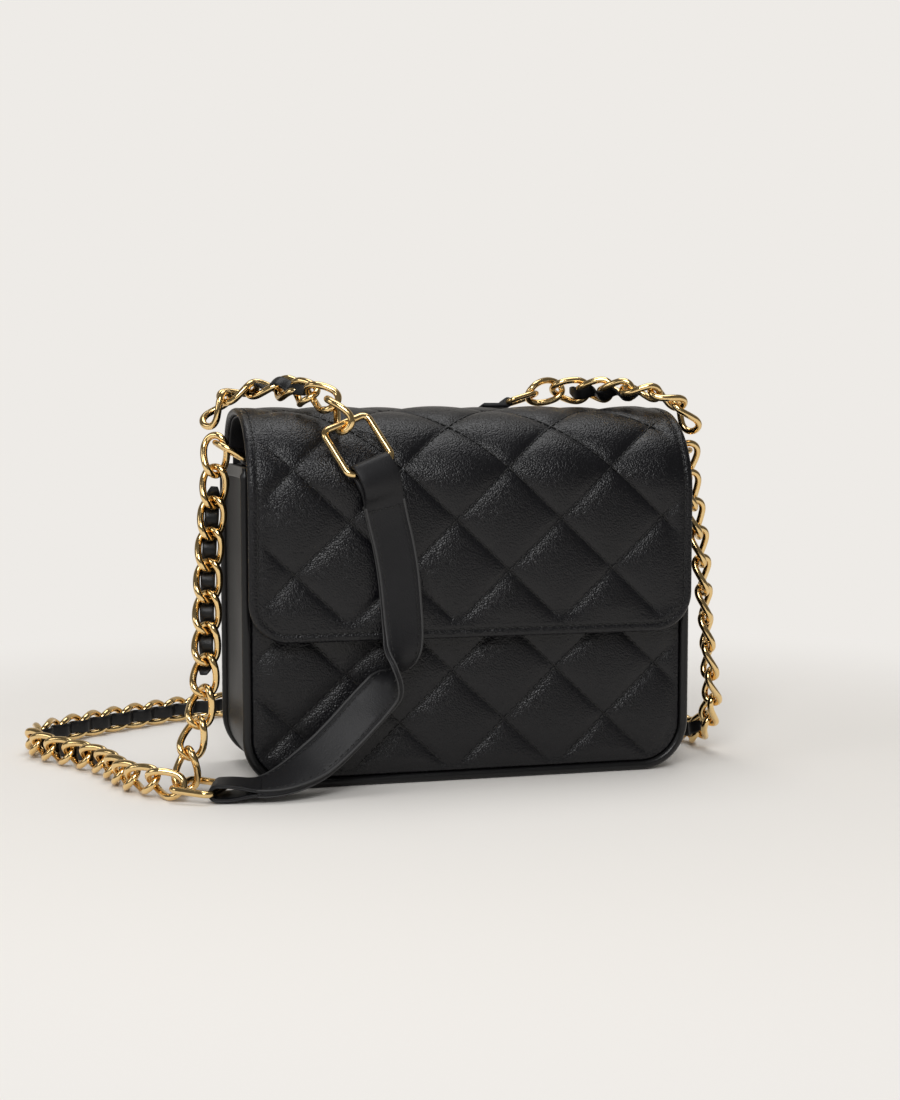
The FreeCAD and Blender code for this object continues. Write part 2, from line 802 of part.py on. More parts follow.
# Stations down the strap: its middle, as shares of the bag's sizes, and the way its width points.
# Below the flap the strap folds over on itself and runs down to the left.
STRAP_STATION_SHARES = [
    ((-0.417, -1.308, 0.889), Vector(0.98, 0.0, 0.2)),
    ((-0.36, -1.308, 0.717), Vector(0.99, 0.0, 0.12)),
    ((-0.338, -1.308, 0.53), Vector(1.0, 0.0, 0.0)),
    ((-0.338, -1.36, 0.45), Vector(1.0, 0.1, 0.0)),
    ((-0.36, -1.39, 0.38), Vector(0.75, 0.55, 0.35)),
    ((-0.42, -1.37, 0.32), Vector(0.1, 0.75, 0.65)),
    ((-0.5, -1.36, 0.26), Vector(-0.6, 0.35, 0.7)),
    ((-0.6, -1.4, 0.185), Vector(-0.75, 0.1, 0.65)),
    ((-0.72, -1.46, 0.11), Vector(-0.62, 0.45, 0.65)),
    ((-0.86, -1.48, 0.055), Vector(-0.25, 0.9, 0.33)),
    ((-1.0, -1.4, 0.033), Vector(0.3, 0.95, 0.05)),
]


def make_strap():
    """The leather strap: a flat band from the upper ring's bar to the lower ring's bar."""
    upper = upper_ring_frame()
    lower = lower_ring_frame()
    wire = size("strap_ring_wire") / 2 + size("strap_ring_clearance")
    upper_legs = upper.Rotation.multVec(Y_AXIS)
    lower_legs = lower.Rotation.multVec(Y_AXIS)
    top = upper.multVec(Y_AXIS * ring_bar_offset(size("upper_ring_length"))) + upper_legs * wire
    end = lower.multVec(Y_AXIS * -ring_bar_offset(size("lower_ring_length"))) - lower_legs * wire
    stations = [(top, upper.Rotation.multVec(X_AXIS))]
    stations += [(place(*shares), side) for shares, side in STRAP_STATION_SHARES]
    stations += [(end, lower.Rotation.multVec(X_AXIS) * -1)]
    frames = []
    for i, (middle, side) in enumerate(stations):
        before = stations[max(i - 1, 0)][0]
        after = stations[min(i + 1, len(stations) - 1)][0]
        frames.append(frame_on(middle, after - before, side))
    frames[0] = frame_on(top, upper_legs, stations[0][1])
    frames[-1] = frame_on(end, lower_legs, stations[-1][1])
    return feature_of("shoulder_strap", ribbon(frames, size("strap_width"), size("strap_thickness"), 0))


# Routes of the chain. Each station is a place, and the way that a link's width points there.


def edge_lift():
    """How high the middle of a link lies when it stands on edge."""
    return size("link_half_width") + size("chain_wire") / 2 + size("floor_clearance")


def on_floor(x_share, y_share):
    """The middle of a link that stands on edge on the floor."""
    return Vector(x_share * half_width, y_share * half_depth, edge_lift())


def on_flap(x_share, y_share):
    """The middle of a link that stands on edge on the flap."""
    return flap_top(x_share, y_share, edge_lift() + size("flap_chain_clearance"))[0]


# The two runs share the lower ring's bar: each is hooked this share of its inner width from the middle.
LOWER_HOOK_SHARE = 0.285
DROP_STATION_SHARES = [
    ((-1.105, -0.33, 0.72), Vector(1, -0.05, 0)),
    ((-1.13, -0.52, 0.44), Vector(0.95, -0.3, 0)),
    ((-1.173, -0.765, 0.232), Vector(0.87, -0.48, 0)),
]
FLOOR_STATION_SHARES = [
    (-1.45, -0.66),
    (-1.54, 0.26),
    (-1.66, 0.95),
    (-1.785, 1.5),
    (-1.83, 2.02),
    (-1.77, 2.5),
    (-1.62, 2.9),
    (-1.49, 3.2),
    (-1.26, 3.64),
    (-1.01, 4.03),
    (-0.6, 4.17),
    (-0.1, 4.0),
    (0.4, 3.57),
    (0.85, 2.71),
    (1.12, 1.71),
    (1.215, 0.9),
]
# Where the chain leaves the floor at the bag's right, and climbs to the gusset's D-ring
RISE_STATION_SHARES = [
    ((1.225, 0.28, 0.06), Vector(0, 0.25, 0.97)),
    ((1.225, -0.2, 0.155), Vector(0, 0.85, 0.5)),
    ((1.19, -0.4, 0.29), Vector(0.1, 1, 0.1)),
    ((1.165, -0.38, 0.5), Vector(0.5, 0.87, 0)),
    ((1.125, -0.33, 0.8), Vector(0.75, 0.66, 0)),
]
RISE_TOP_SIDE = Vector(0.8, 0.6, 0)


def lower_hook(share):
    """A point on the lower ring's far bar, and that bar's wire."""
    across = share * size("strap_ring_width")
    far_bar = Vector(across, ring_bar_offset(size("lower_ring_length")), 0)
    return lower_ring_frame().multVec(far_bar), size("strap_ring_wire")


def left_drop_frames():
    """The run from the left gusset D-ring down to the lower ring."""
    first = (gusset_bow(-1), size("d_ring_wire"), Z_AXIS * -1, X_AXIS)
    stations = [(place(*shares), side) for shares, side in DROP_STATION_SHARES]
    bar, wire = lower_hook(-LOWER_HOOK_SHARE)
    last = (bar, wire, Vector(-0.1, -0.2, -0.97), Vector(0.8, -0.6, 0))
    return link_frames(first, stations, last)


def long_run_frames():
    """The run from the lower ring, over the floor behind the bag and up to the right gusset D-ring."""
    bar, wire = lower_hook(LOWER_HOOK_SHARE)
    first = (bar, wire, Vector(-0.75, 0.64, 0.2), Z_AXIS)
    stations = [(on_floor(*shares), Z_AXIS) for shares in FLOOR_STATION_SHARES]
    stations += [(place(*shares), side) for shares, side in RISE_STATION_SHARES]
    last = (gusset_bow(1), size("d_ring_wire"), Z_AXIS, RISE_TOP_SIDE)
    return link_frames(first, stations, last)


# Where the two short runs cross the flap's side edges, how steeply, and how many links down they hang
SHOULDER_Y_SHARES = {-1: 0.12, 1: -0.37}
SHOULDER_DEGREES = 54.0
SHOULDER_HANG_SHARES = {-1: 0.61, 1: 0.7}


def flat_lift():
    """How high the middle of a link lies when its flat face rests on the flap."""
    return size("link_rise") + size("chain_wire") / 2 + size("flap_chain_clearance")


def shoulder_top(side):
    """The middle of the link that crosses one side edge of the flap."""
    return flap_top(side * flap_width / size("bag_width"), SHOULDER_Y_SHARES[side], flat_lift())[0]


def shoulder_foot(side):
    """The lower end of a run that hangs over one side edge of the flap, beside the gusset's D-ring."""
    corner, _ = flap_top(side * flap_width / size("bag_width"), SHOULDER_Y_SHARES[side], 0)
    lean = math.radians(SHOULDER_DEGREES)
    heading = Vector(-side * math.cos(lean), 0, math.sin(lean))
    outward = Vector(side * math.sin(lean), 0, math.cos(lean))
    end = corner + outward * flat_lift() - heading * SHOULDER_HANG_SHARES[side] * size("link_half_length") * 2
    return end, size("chain_wire"), heading, Y_AXIS * -side


def top_left_frames():
    """The run over the flap's left shoulder to the upper strap ring."""
    stations = [
        (shoulder_top(-1), Vector(0, 1, 0)),
        (on_flap(-0.83, 0.108), Vector(0.29, 0.94, 0.27)),
        (on_flap(-0.728, -0.144), Vector(0.24, 0.82, 0.65)),
        (on_flap(-0.69, -0.455), Vector(0.04, 0.43, 0.89)),
        (on_flap(-0.637, -0.655) + Z_AXIS * size("chain_wire") / 2, Vector(0.04, -0.14, 1.02)),
    ]
    ring = upper_ring_frame()
    top_bar = ring.multVec(Y_AXIS * -ring_bar_offset(size("upper_ring_length")))
    last = (top_bar, size("strap_ring_wire"), Vector(0.32, -0.56, -0.67), Vector(0, -0.79, 0.6))
    return link_frames(shoulder_foot(-1), stations, last)


def top_right_frames():
    """The run over the flap's right shoulder to the D-ring on top."""
    stations = [
        (shoulder_top(1), Vector(0, -1, -0.09)),
        (on_flap(0.84, -0.25), Vector(-0.4, -0.99, 0.22)),
        (on_flap(0.75, 0.045), Vector(-0.34, -0.86, 0.52)),
        (on_flap(0.65, 0.34), Vector(-0.17, -0.43, 0.9)),
    ]
    bow_radius = (size("d_ring_width") + size("d_ring_wire")) / 2
    sag = (size("link_rise") + size("chain_wire") / 2) ** 2 / (2 * bow_radius)
    wire = size("d_ring_wire") + 2 * sag
    last = (bow_of(top_ring_frame()), wire, Vector(-1, -0.04, -0.26), Z_AXIS)
    return link_frames(shoulder_foot(1), stations, last)


left_drop = left_drop_frames()
long_run = long_run_frames()
top_left = top_left_frames()
top_right = top_right_frames()
lying = [i for i, (centre, _, _) in enumerate(long_run) if centre.z < 2 * edge_lift()]
floor_links = lying[-1] + 1
upper_ring = feature_of("upper_ring", strap_ring_solid(size("upper_ring_length")))
upper_ring.Placement = upper_ring_frame()
lower_ring = feature_of("lower_ring", strap_ring_solid(size("lower_ring_length")))
lower_ring.Placement = lower_ring_frame()

parts = [
    make_panel("front_panel", True),
    make_panel("back_panel", False),
    make_gusset(),
    make_piping("front_piping", -1),
    make_piping("back_piping", 1),
    make_facing("left_gusset_facing", -1),
    make_facing("right_gusset_facing", 1),
    make_base_board(),
    make_lining(),
    make_slip_pocket(),
    make_flap_shell(),
    make_flap_lining(),
    make_snap_socket(),
    make_snap_stud(),
]
parts += make_gusset_ring("left", -1)
parts += make_gusset_ring("right", 1)
parts += make_top_ring()
parts += [
    make_chain("chain_left_drop", left_drop),
    make_chain("chain_floor", long_run[:floor_links]),
    make_chain("chain_right_rise", long_run[floor_links:]),
    make_chain("chain_top_left", top_left),
    make_chain("chain_top_right", top_right),
    make_lace("lace_left_drop", left_drop[:-3], 1),
    make_lace("lace_floor", long_run[3:floor_links], -1),
    make_lace("lace_top_left", top_left[2:-2], -1),
    make_lace("lace_top_right", top_right[2:-1], 1),
    upper_ring,
    lower_ring,
    make_strap(),
]

doc.recompute()

for thing in doc.Objects:
    bad = [state for state in thing.State if state in ("Invalid", "Error")]
    if bad:
        raise RuntimeError(f"{thing.Label} is {bad}")
for part in parts:
    if part.Shape.isNull() or not part.Shape.isValid():
        raise RuntimeError(f"{part.Label} has no valid shape")

os.makedirs("parts", exist_ok=True)
for part in parts:
    part.Shape.exportStep(f"parts/{part.Label}.step")
    print(part.Label, len(part.Shape.Solids), "solids", round(part.Shape.Volume, 1), "mm3")
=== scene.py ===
# %% [markdown]
# A small shoulder bag of black quilted leather, with a gold chain and a leather strap, dressed over its CAD frame.
# The frame gives every piece its place. Metal pieces keep their CAD shape and get a finish here. Leather and cloth
# are made again as surfaces, because soft pieces puff, roll over at their edges and carry stitches.

import math

import bmesh
import bpy
import numpy as np
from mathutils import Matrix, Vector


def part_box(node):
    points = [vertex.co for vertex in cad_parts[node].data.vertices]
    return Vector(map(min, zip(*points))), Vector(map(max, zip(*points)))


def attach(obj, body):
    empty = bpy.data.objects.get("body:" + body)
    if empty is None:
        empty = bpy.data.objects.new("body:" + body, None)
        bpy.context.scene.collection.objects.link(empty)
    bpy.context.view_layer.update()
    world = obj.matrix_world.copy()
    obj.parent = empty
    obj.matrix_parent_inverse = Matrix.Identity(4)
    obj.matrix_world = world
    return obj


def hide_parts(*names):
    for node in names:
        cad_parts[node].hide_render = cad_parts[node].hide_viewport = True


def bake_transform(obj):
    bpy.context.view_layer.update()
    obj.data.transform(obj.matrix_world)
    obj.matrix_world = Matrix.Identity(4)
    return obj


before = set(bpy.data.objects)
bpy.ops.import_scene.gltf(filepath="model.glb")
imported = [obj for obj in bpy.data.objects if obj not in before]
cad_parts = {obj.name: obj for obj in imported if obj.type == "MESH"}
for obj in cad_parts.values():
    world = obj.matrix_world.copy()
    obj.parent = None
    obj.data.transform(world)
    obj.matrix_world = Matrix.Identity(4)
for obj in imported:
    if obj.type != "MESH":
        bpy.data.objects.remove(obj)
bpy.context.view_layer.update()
MM = 0.001

# %% [markdown]
# Every surface below is a numpy array of points in millimetres. These helpers turn such arrays into closed meshes:
# a grid becomes quads, a row of rings becomes a tube with two caps, and points that coincide are merged.


# %% Mesh helpers
def grid_faces(rows, columns, closed=False, first=0):
    """Quads of a grid of points: (i, j) joins (i + 1, j) and (i, j + 1).

    A closed grid also joins its last column to its first.
    """
    across = columns if closed else columns - 1
    i, j = np.meshgrid(np.arange(rows - 1), np.arange(across), indexing="ij")
    after = (j + 1) % columns
    quads = np.stack([i * columns + j, i * columns + after, (i + 1) * columns + after, (i + 1) * columns + j], -1)
    return (quads.reshape(-1, 4) + first).tolist()


def tube_faces(rings, points, first=0):
    """Faces of a row of closed rings, with one flat cap at each end."""
    last = first + (rings - 1) * points
    caps = [list(range(first + points - 1, first - 1, -1)), list(range(last, last + points))]
    return grid_faces(rings, points, closed=True, first=first) + caps


def new_piece(name, points, faces, material, body, slot, replaced=()):
    """A mesh piece in the frame: its doubles are merged, its faces turned outwards and its shading smooth.

    A piece with no body is left unattached.
    """
    mesh = bpy.data.meshes.new(name)
    mesh.from_pydata((np.asarray(points).reshape(-1, 3) * MM).tolist(), [], faces)
    work = bmesh.new()
    work.from_mesh(mesh)
    bmesh.ops.remove_doubles(work, verts=work.verts, dist=1e-7)
    bmesh.ops.dissolve_degenerate(work, edges=work.edges, dist=1e-8)
    bmesh.ops.recalc_face_normals(work, faces=work.faces)
    work.to_mesh(mesh)
    work.free()
    mesh.shade_smooth()
    piece = bpy.data.objects.new(name, mesh)
    bpy.context.scene.collection.objects.link(piece)
    mesh.materials.append(material)
    if body:
        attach(piece, body)
    if replaced:
        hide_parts(*replaced)
    print(name, len(mesh.vertices), "points", len(mesh.polygons), "faces")
    return piece


def join(parts):
    """Several (points, faces) made one: each part's faces count on from the points before it."""
    points, faces, count = [], [], 0
    for some_points, some_faces in parts:
        flat = np.asarray(some_points).reshape(-1, 3)
        points.append(flat)
        faces += [[corner + count for corner in face] for face in some_faces]
        count += len(flat)
    return np.concatenate(points), faces


def unit(vectors):
    """Vectors divided by their own lengths."""
    return vectors / np.maximum(np.linalg.norm(vectors, axis=-1, keepdims=True), 1e-12)


def smooth(share):
    """A soft step from 0 to 1: 3 t squared less 2 t cubed."""
    t = np.clip(share, 0, 1)
    return t * t * (3 - 2 * t)


# %% [markdown]
# Materials start from what the real thing is made of. A leather hide has a fine grain pressed into it, which is a
# field of small cells, and a finish coat that shines. Colours are written as sRGB hex values, and patterns are scaled
# from a size in millimetres.


# %% Material helpers
def linear(hex_colour):
    """sRGB hex to linear light: ((c + 0.055) / 1.055) to the power 2.4, and c / 12.92 near black."""
    srgb = np.array([int(hex_colour[i:i + 2], 16) for i in (1, 3, 5)]) / 255
    rgb = np.where(srgb > 0.04045, ((srgb + 0.055) / 1.055) ** 2.4, srgb / 12.92)
    return (*rgb.tolist(), 1.0)


def per_metre(millimetres):
    """The texture scale at which one cell of a pattern is this large."""
    return 1 / (millimetres * MM)


def node(tree, kind, inputs, **settings):
    """Add a node, set its settings, set or link its inputs, and give its outputs."""
    made = tree.nodes.new(kind)
    for name, value in settings.items():
        setattr(made, name, value)
    for name, value in inputs.items():
        if isinstance(value, bpy.types.NodeSocket):
            tree.links.new(value, made.inputs[name])
        else:
            made.inputs[name].default_value = value
    return made.outputs


def new_material(name, values):
    """A material with one shader, whose constant sockets are set by name."""
    material = bpy.data.materials.new(name)
    material.use_nodes = True
    shader = material.node_tree.nodes["Principled BSDF"]
    for socket, value in values.items():
        shader.inputs[socket].default_value = value
    coords = node(material.node_tree, "ShaderNodeTexCoord", {})["Object"]
    return material, material.node_tree, shader, coords


def spread(tree, field, low, high):
    """A field from 0 to 1 stretched between two values."""
    return node(tree, "ShaderNodeMapRange", {"Value": field, "To Min": low, "To Max": high})["Result"]


def two_tones(tree, share, dark, light):
    """Two sRGB colours mixed by a field."""
    return node(tree, "ShaderNodeMix", {"Factor": share, 6: linear(dark), 7: linear(light)}, data_type="RGBA")[2]


# %% Grained leathers
WARP_REACH = 0.0012
TONE_MM = 22


def grained_leather(name, dark, light, grain_mm, grain_depth_mm, rough, coat, shine=0.34):
    """Dyed hide: rounded grain cells with creases between them, a slow change of tone, and a finish coat.

    The height is the distance to the nearest cell middle, warped by noise so that no cell is regular. The eye gets a
    broken soft highlight from it.
    """
    finish = {"Coat Weight": coat, "Coat Roughness": 0.25, "IOR": 1.45, "Specular IOR Level": shine}
    material, tree, shader, coords = new_material(name, finish)
    warp = node(tree, "ShaderNodeTexNoise", {"Vector": coords, "Scale": per_metre(3 * grain_mm), "Detail": 2})
    bent = node(tree, "ShaderNodeMix", {"Factor": WARP_REACH, 4: coords, 5: warp["Color"]}, data_type="VECTOR")[1]
    cells = node(
        tree, "ShaderNodeTexVoronoi",
        {"Vector": bent, "Scale": per_metre(grain_mm), "Smoothness": 0.35}, feature="SMOOTH_F1",
    )["Distance"]
    tone = node(tree, "ShaderNodeTexNoise", {"Vector": coords, "Scale": per_metre(TONE_MM), "Detail": 3})["Fac"]
    colour = two_tones(tree, tone, dark, light)
    height = spread(tree, cells, 1.0, 0.0)
    bump = node(
        tree, "ShaderNodeBump", {"Strength": 0.75, "Distance": grain_depth_mm * MM, "Height": height}
    )["Normal"]
    tree.links.new(colour, shader.inputs["Base Color"])
    tree.links.new(spread(tree, tone, *rough), shader.inputs["Roughness"])
    for socket in ("Normal", "Coat Normal"):
        tree.links.new(bump, shader.inputs[socket])
    return material


pebbled_leather = grained_leather("pebbled_calf_leather", "#08080b", "#0f0f13", 0.75, 0.26, (0.3, 0.38), 0.18)
smooth_leather = grained_leather("smooth_calf_leather", "#131315", "#1b1b1e", 0.7, 0.07, (0.46, 0.56), 0.04)
welt_leather = grained_leather("rolled_welt_leather", "#0e0e0f", "#161617", 0.7, 0.05, (0.28, 0.38), 0.15)
gusset_leather = grained_leather("smooth_gusset_leather", "#0a0a0a", "#121111", 0.8, 0.05, (0.34, 0.44), 0.0, 0.1)
lace_leather = grained_leather("chain_lace_leather", "#0c0c0d", "#151516", 0.6, 0.05, (0.36, 0.48), 0.08)
print("leathers", 5)


# %% Cloth, thread, metal and board
def woven_cloth(name, dark, light, thread_mm):
    """Plain weave lining: two sets of waves at right angles give the threads, and the cloth has little shine."""
    material, tree, shader, coords = new_material(name, {"Roughness": 0.85, "Sheen Weight": 0.2})
    waves = []
    for direction in ("X", "Z"):
        waves.append(node(
            tree, "ShaderNodeTexWave", {"Vector": coords, "Scale": per_metre(thread_mm) / 6.28, "Distortion": 0.4},
            bands_direction=direction,
        )["Fac"])
    weave = node(tree, "ShaderNodeMath", {0: waves[0], 1: waves[1]}, operation="MULTIPLY")["Value"]
    colour = two_tones(tree, weave, dark, light)
    bump = node(tree, "ShaderNodeBump", {"Strength": 0.4, "Distance": 0.1 * MM, "Height": weave})["Normal"]
    tree.links.new(colour, shader.inputs["Base Color"])
    tree.links.new(bump, shader.inputs["Normal"])
    return material


def plated_metal(name, dark, light, rough):
    """Polished plate: a clear metal colour with faint handling marks in the roughness."""
    material, tree, shader, coords = new_material(name, {"Metallic": 1.0})
    marks = node(tree, "ShaderNodeTexNoise", {"Vector": coords, "Scale": per_metre(4), "Detail": 5})["Fac"]
    colour = two_tones(tree, marks, dark, light)
    bump = node(tree, "ShaderNodeBump", {"Strength": 0.08, "Distance": 0.05 * MM, "Height": marks})["Normal"]
    tree.links.new(colour, shader.inputs["Base Color"])
    tree.links.new(spread(tree, marks, *rough), shader.inputs["Roughness"])
    tree.links.new(bump, shader.inputs["Normal"])
    return material


def sewing_thread(name, dark, light):
    """Waxed black thread: a fine twist across each stitch and a low sheen."""
    material, tree, shader, coords = new_material(name, {"Roughness": 0.55})
    twist = node(tree, "ShaderNodeTexNoise", {"Vector": coords, "Scale": per_metre(0.4), "Detail": 1})["Fac"]
    colour = two_tones(tree, twist, dark, light)
    tree.links.new(colour, shader.inputs["Base Color"])
    return material


# The edge paint is a lighter black than the strap: partly real edge paint, partly a painted highlight along the
# edges.
edge_coat_and_highlight = sewing_thread("edge_coat_and_highlight", "#2c2c2d", "#3a3a3b")
lining_cloth = woven_cloth("woven_lining_cloth", "#111112", "#262628", 0.8)
gold_plate = plated_metal("polished_gold_plate", "#ecc47e", "#f6dba6", (0.1, 0.18))
snap_steel = plated_metal("plated_snap_steel", "#a8a29a", "#c9c4bc", (0.25, 0.35))
stiff_board = woven_cloth("grey_stiffener_board", "#6a6a68", "#7c7b78", 0.5)
black_thread = sewing_thread("waxed_black_thread", "#060606", "#101010")
print("other finishes", 6)

# %% [markdown]
# The chain links, D-rings, strap rings, snap and base board are hard pieces, and the CAD gives their real shape, so
# only their finish changes.

# %% Finish the hard nodes
GOLD_NODES = [
    "left_d_ring", "right_d_ring", "flap_top_d_ring", "upper_ring", "lower_ring", "chain_left_drop", "chain_floor",
    "chain_right_rise", "chain_top_left", "chain_top_right",
]
HARD_FINISHES = {name: gold_plate for name in GOLD_NODES}
HARD_FINISHES.update({"snap_socket": snap_steel, "snap_stud": snap_steel, "base_board": stiff_board})
for name, finish in HARD_FINISHES.items():
    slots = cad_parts[name].data.materials
    slots.clear()
    slots.append(finish)
print("finished", len(HARD_FINISHES), "hard nodes")

# %% [markdown]
# The camera comes first. It stands a little to the left of the bag's front at its lid's height, and looks down a few
# degrees.

# %% Camera
CAMERA_PLACE = np.array([-199.3, -754.9, 162.6])
CAMERA_TURN_DEGREES = 14.7
CAMERA_DOWN_DEGREES = 4.78
IMAGE_HEIGHT = 1100
FOCAL_PIXELS = 1745.0
camera_data = bpy.data.cameras.new("photo_camera")
camera_data.sensor_fit = "VERTICAL"
camera_data.sensor_height = 36.0
camera_data.lens = FOCAL_PIXELS / IMAGE_HEIGHT * camera_data.sensor_height
camera_data.clip_start = 0.01
camera = bpy.data.objects.new("photo_camera", camera_data)
camera.location = (CAMERA_PLACE * MM).tolist()
camera.rotation_euler = (math.radians(90 - CAMERA_DOWN_DEGREES), 0, -math.radians(CAMERA_TURN_DEGREES))
bpy.context.scene.collection.objects.link(camera)
bpy.context.scene.camera = camera
print("camera lens", round(camera_data.lens, 1), "mm")

# %% [markdown]
# The quilted leather is a sheet with rolled edges. A place on it is x across and s along, and n out of it. One
# function carries (x, s, n) into space: for the flap along its bent line, for the panels straight down. Quilting is
# two sets of slanting seams: between them the padding puffs, and at a seam it is drawn in.

# %% Where the flap runs
HINGE_Y = 33.0
HINGE_Z = 139.4
FLAP_FRONT_Y = -41.0
FLAP_LOW_EDGE = 63.2
BACK_RADIUS = 19.0
FRONT_RADIUS = 35.0
CROWN_HALF = math.radians(10)
BEND = math.pi / 2 - CROWN_HALF
RISE = np.array([math.cos(BEND), math.sin(BEND)])
ENDS = (BACK_RADIUS + FRONT_RADIUS) * (1 - math.cos(BEND))
CROWN_RADIUS = (HINGE_Y - FLAP_FRONT_Y - ENDS) / (2 * math.sin(CROWN_HALF))
BACK_CENTRE = np.array([HINGE_Y - BACK_RADIUS, HINGE_Z])
CROWN_CENTRE = BACK_CENTRE - RISE * (CROWN_RADIUS - BACK_RADIUS)
FRONT_CENTRE = CROWN_CENTRE + RISE * [-1, 1] * (CROWN_RADIUS - FRONT_RADIUS)
MARKS = np.cumsum([0, BACK_RADIUS * BEND, CROWN_RADIUS * 2 * CROWN_HALF, FRONT_RADIUS * BEND])
FLAP_LENGTH = MARKS[3] + FRONT_CENTRE[1] - FLAP_LOW_EDGE


def on_flap(x, s, n):
    """Point of the flap: its middle line runs from the hinge over three tangent arcs and then straight down.

    On an arc the angle is the run divided by the radius, and n is added to the radius.
    """
    where = [s < MARKS[1], s < MARKS[2], s < MARKS[3]]
    turns = [s / BACK_RADIUS, BEND + (s - MARKS[1]) / CROWN_RADIUS, math.pi - BEND + (s - MARKS[2]) / FRONT_RADIUS]
    angle = np.select(where, turns, math.pi)
    radius = np.select(where, [BACK_RADIUS, CROWN_RADIUS, FRONT_RADIUS], FRONT_RADIUS)
    centre_y = np.select(where, [BACK_CENTRE[0], CROWN_CENTRE[0], FRONT_CENTRE[0]], FRONT_CENTRE[0])
    centre_z = np.select(where, [BACK_CENTRE[1], CROWN_CENTRE[1], FRONT_CENTRE[1]], FRONT_CENTRE[1])
    y = centre_y + (radius + n) * np.cos(angle)
    z = centre_z + (radius + n) * np.sin(angle) - np.maximum(s - MARKS[3], 0)
    return np.stack(np.broadcast_arrays(x, y, z), -1)


BODY_HEIGHT = 136.0
PANEL_MIDDLE_Y = 33.0


def on_front(x, s, n):
    """Point of the front panel: s runs straight down from its top edge, and n comes forward."""
    return np.stack(np.broadcast_arrays(x, -PANEL_MIDDLE_Y - n, BODY_HEIGHT - s), -1)


def on_back(x, s, n):
    """Point of the back panel: the front panel turned half round."""
    return np.stack(np.broadcast_arrays(-x, PANEL_MIDDLE_Y + n, BODY_HEIGHT - s), -1)


print("flap line", round(FLAP_LENGTH, 1), "mm")


# %% Quilted sheets
EDGE_ROWS = np.array([0, 0.1, 0.3, 0.6, 1.0, 1.5, 2.1, 2.8])


def sheet_grid(half_width, length, corner, step):
    """Rows of (x, s) that fill a sheet with two rounded lower corners.

    Each row spans the sheet's own width there, and the rows of the corners follow a quarter circle.
    """
    turn = np.linspace(0, math.pi / 2, math.ceil(corner * math.pi / 2 / step) + 1)
    straight = np.arange(EDGE_ROWS[-1] + step, length - corner, step)
    s = np.concatenate([EDGE_ROWS, straight, length - corner + corner * np.sin(turn)])
    upper = np.full(len(EDGE_ROWS) + len(straight), half_width)
    w = np.concatenate([upper, half_width - corner + corner * np.cos(turn)])
    edge = 1 - EDGE_ROWS / half_width
    inside = np.linspace(-edge[-1], edge[-1], math.ceil(2 * half_width / step))[1:-1]
    u = np.concatenate([-edge, inside, edge[::-1]])
    x = w[:, None] * u[None, :]
    return x, np.broadcast_to(s[:, None], x.shape).copy()


def edge_distance(x, s, half_width, length, corner):
    """How far a place lies in from the sheet's edge: to the nearest straight side, or to a corner's arc."""
    past_x = np.abs(x) - (half_width - corner)
    past_s = s - (length - corner)
    arc = corner - np.hypot(np.maximum(past_x, 0), np.maximum(past_s, 0))
    side = np.minimum(half_width - np.abs(x), length - s)
    return np.minimum(np.where((past_x > 0) & (past_s > 0), arc, side), s)


CREASE_SHARE = 0.3
CROWN_POWER = 0.7
GROOVE_WIDTH = 0.6


def diamond_puff(x, s, quilt):
    """Padding height from 0 on a seam to 1 in a diamond's middle.

    The two slanting coordinates p = X + S and q = X - S, with X and S counted in diamonds, rise by one from seam to
    seam. Near a seam the leather climbs as 1 - exp(-distance / crease), and the whole diamond is crowned by sines
    of p and q, raised to a power.
    """
    across = (x - quilt["x"]) / quilt["wide"]
    along = (s - quilt["s"]) / quilt["tall"]
    spacing = quilt["wide"] * quilt["tall"] / math.hypot(quilt["wide"], quilt["tall"])
    crease, crown = 1.0, 1.0
    for slant in (across + along, across - along):
        crease = crease * (1 - np.exp(-np.abs(slant - np.round(slant)) * spacing / quilt["crease"]))
        crown = crown * np.abs(np.sin(math.pi * slant))
    return CREASE_SHARE * crease + (1 - CREASE_SHARE) * crown ** CROWN_POWER


def quilted_sheet(carrier, plan, quilt, build):
    """Outer and inner face of a padded sheet: rim, topstitch groove, puffed diamonds and a rolled edge."""
    x, s = sheet_grid(*plan, build["step"])
    d = edge_distance(x, s, *plan)
    padding = build["crest"] - quilt["depth"] * (1 - diamond_puff(x, s, quilt))
    ease = smooth((d - build["rim"]) / build["ease"])
    outer = (build["crest"] - build["rim_drop"]) * (1 - ease) + padding * ease
    outer = outer - build["groove"] * np.exp(-((d - build["rim"]) / GROOVE_WIDTH) ** 2)
    roll = np.sqrt(1 - np.clip(1 - d / build["roll"], 0, 1) ** 2)
    middle = build["inner"] + build["roll"] * 0.9
    faces = [carrier(x, s, middle + (level - middle) * roll) for level in (outer, build["inner"])]
    rows, columns = x.shape
    return join([(points, grid_faces(rows, columns)) for points in faces])


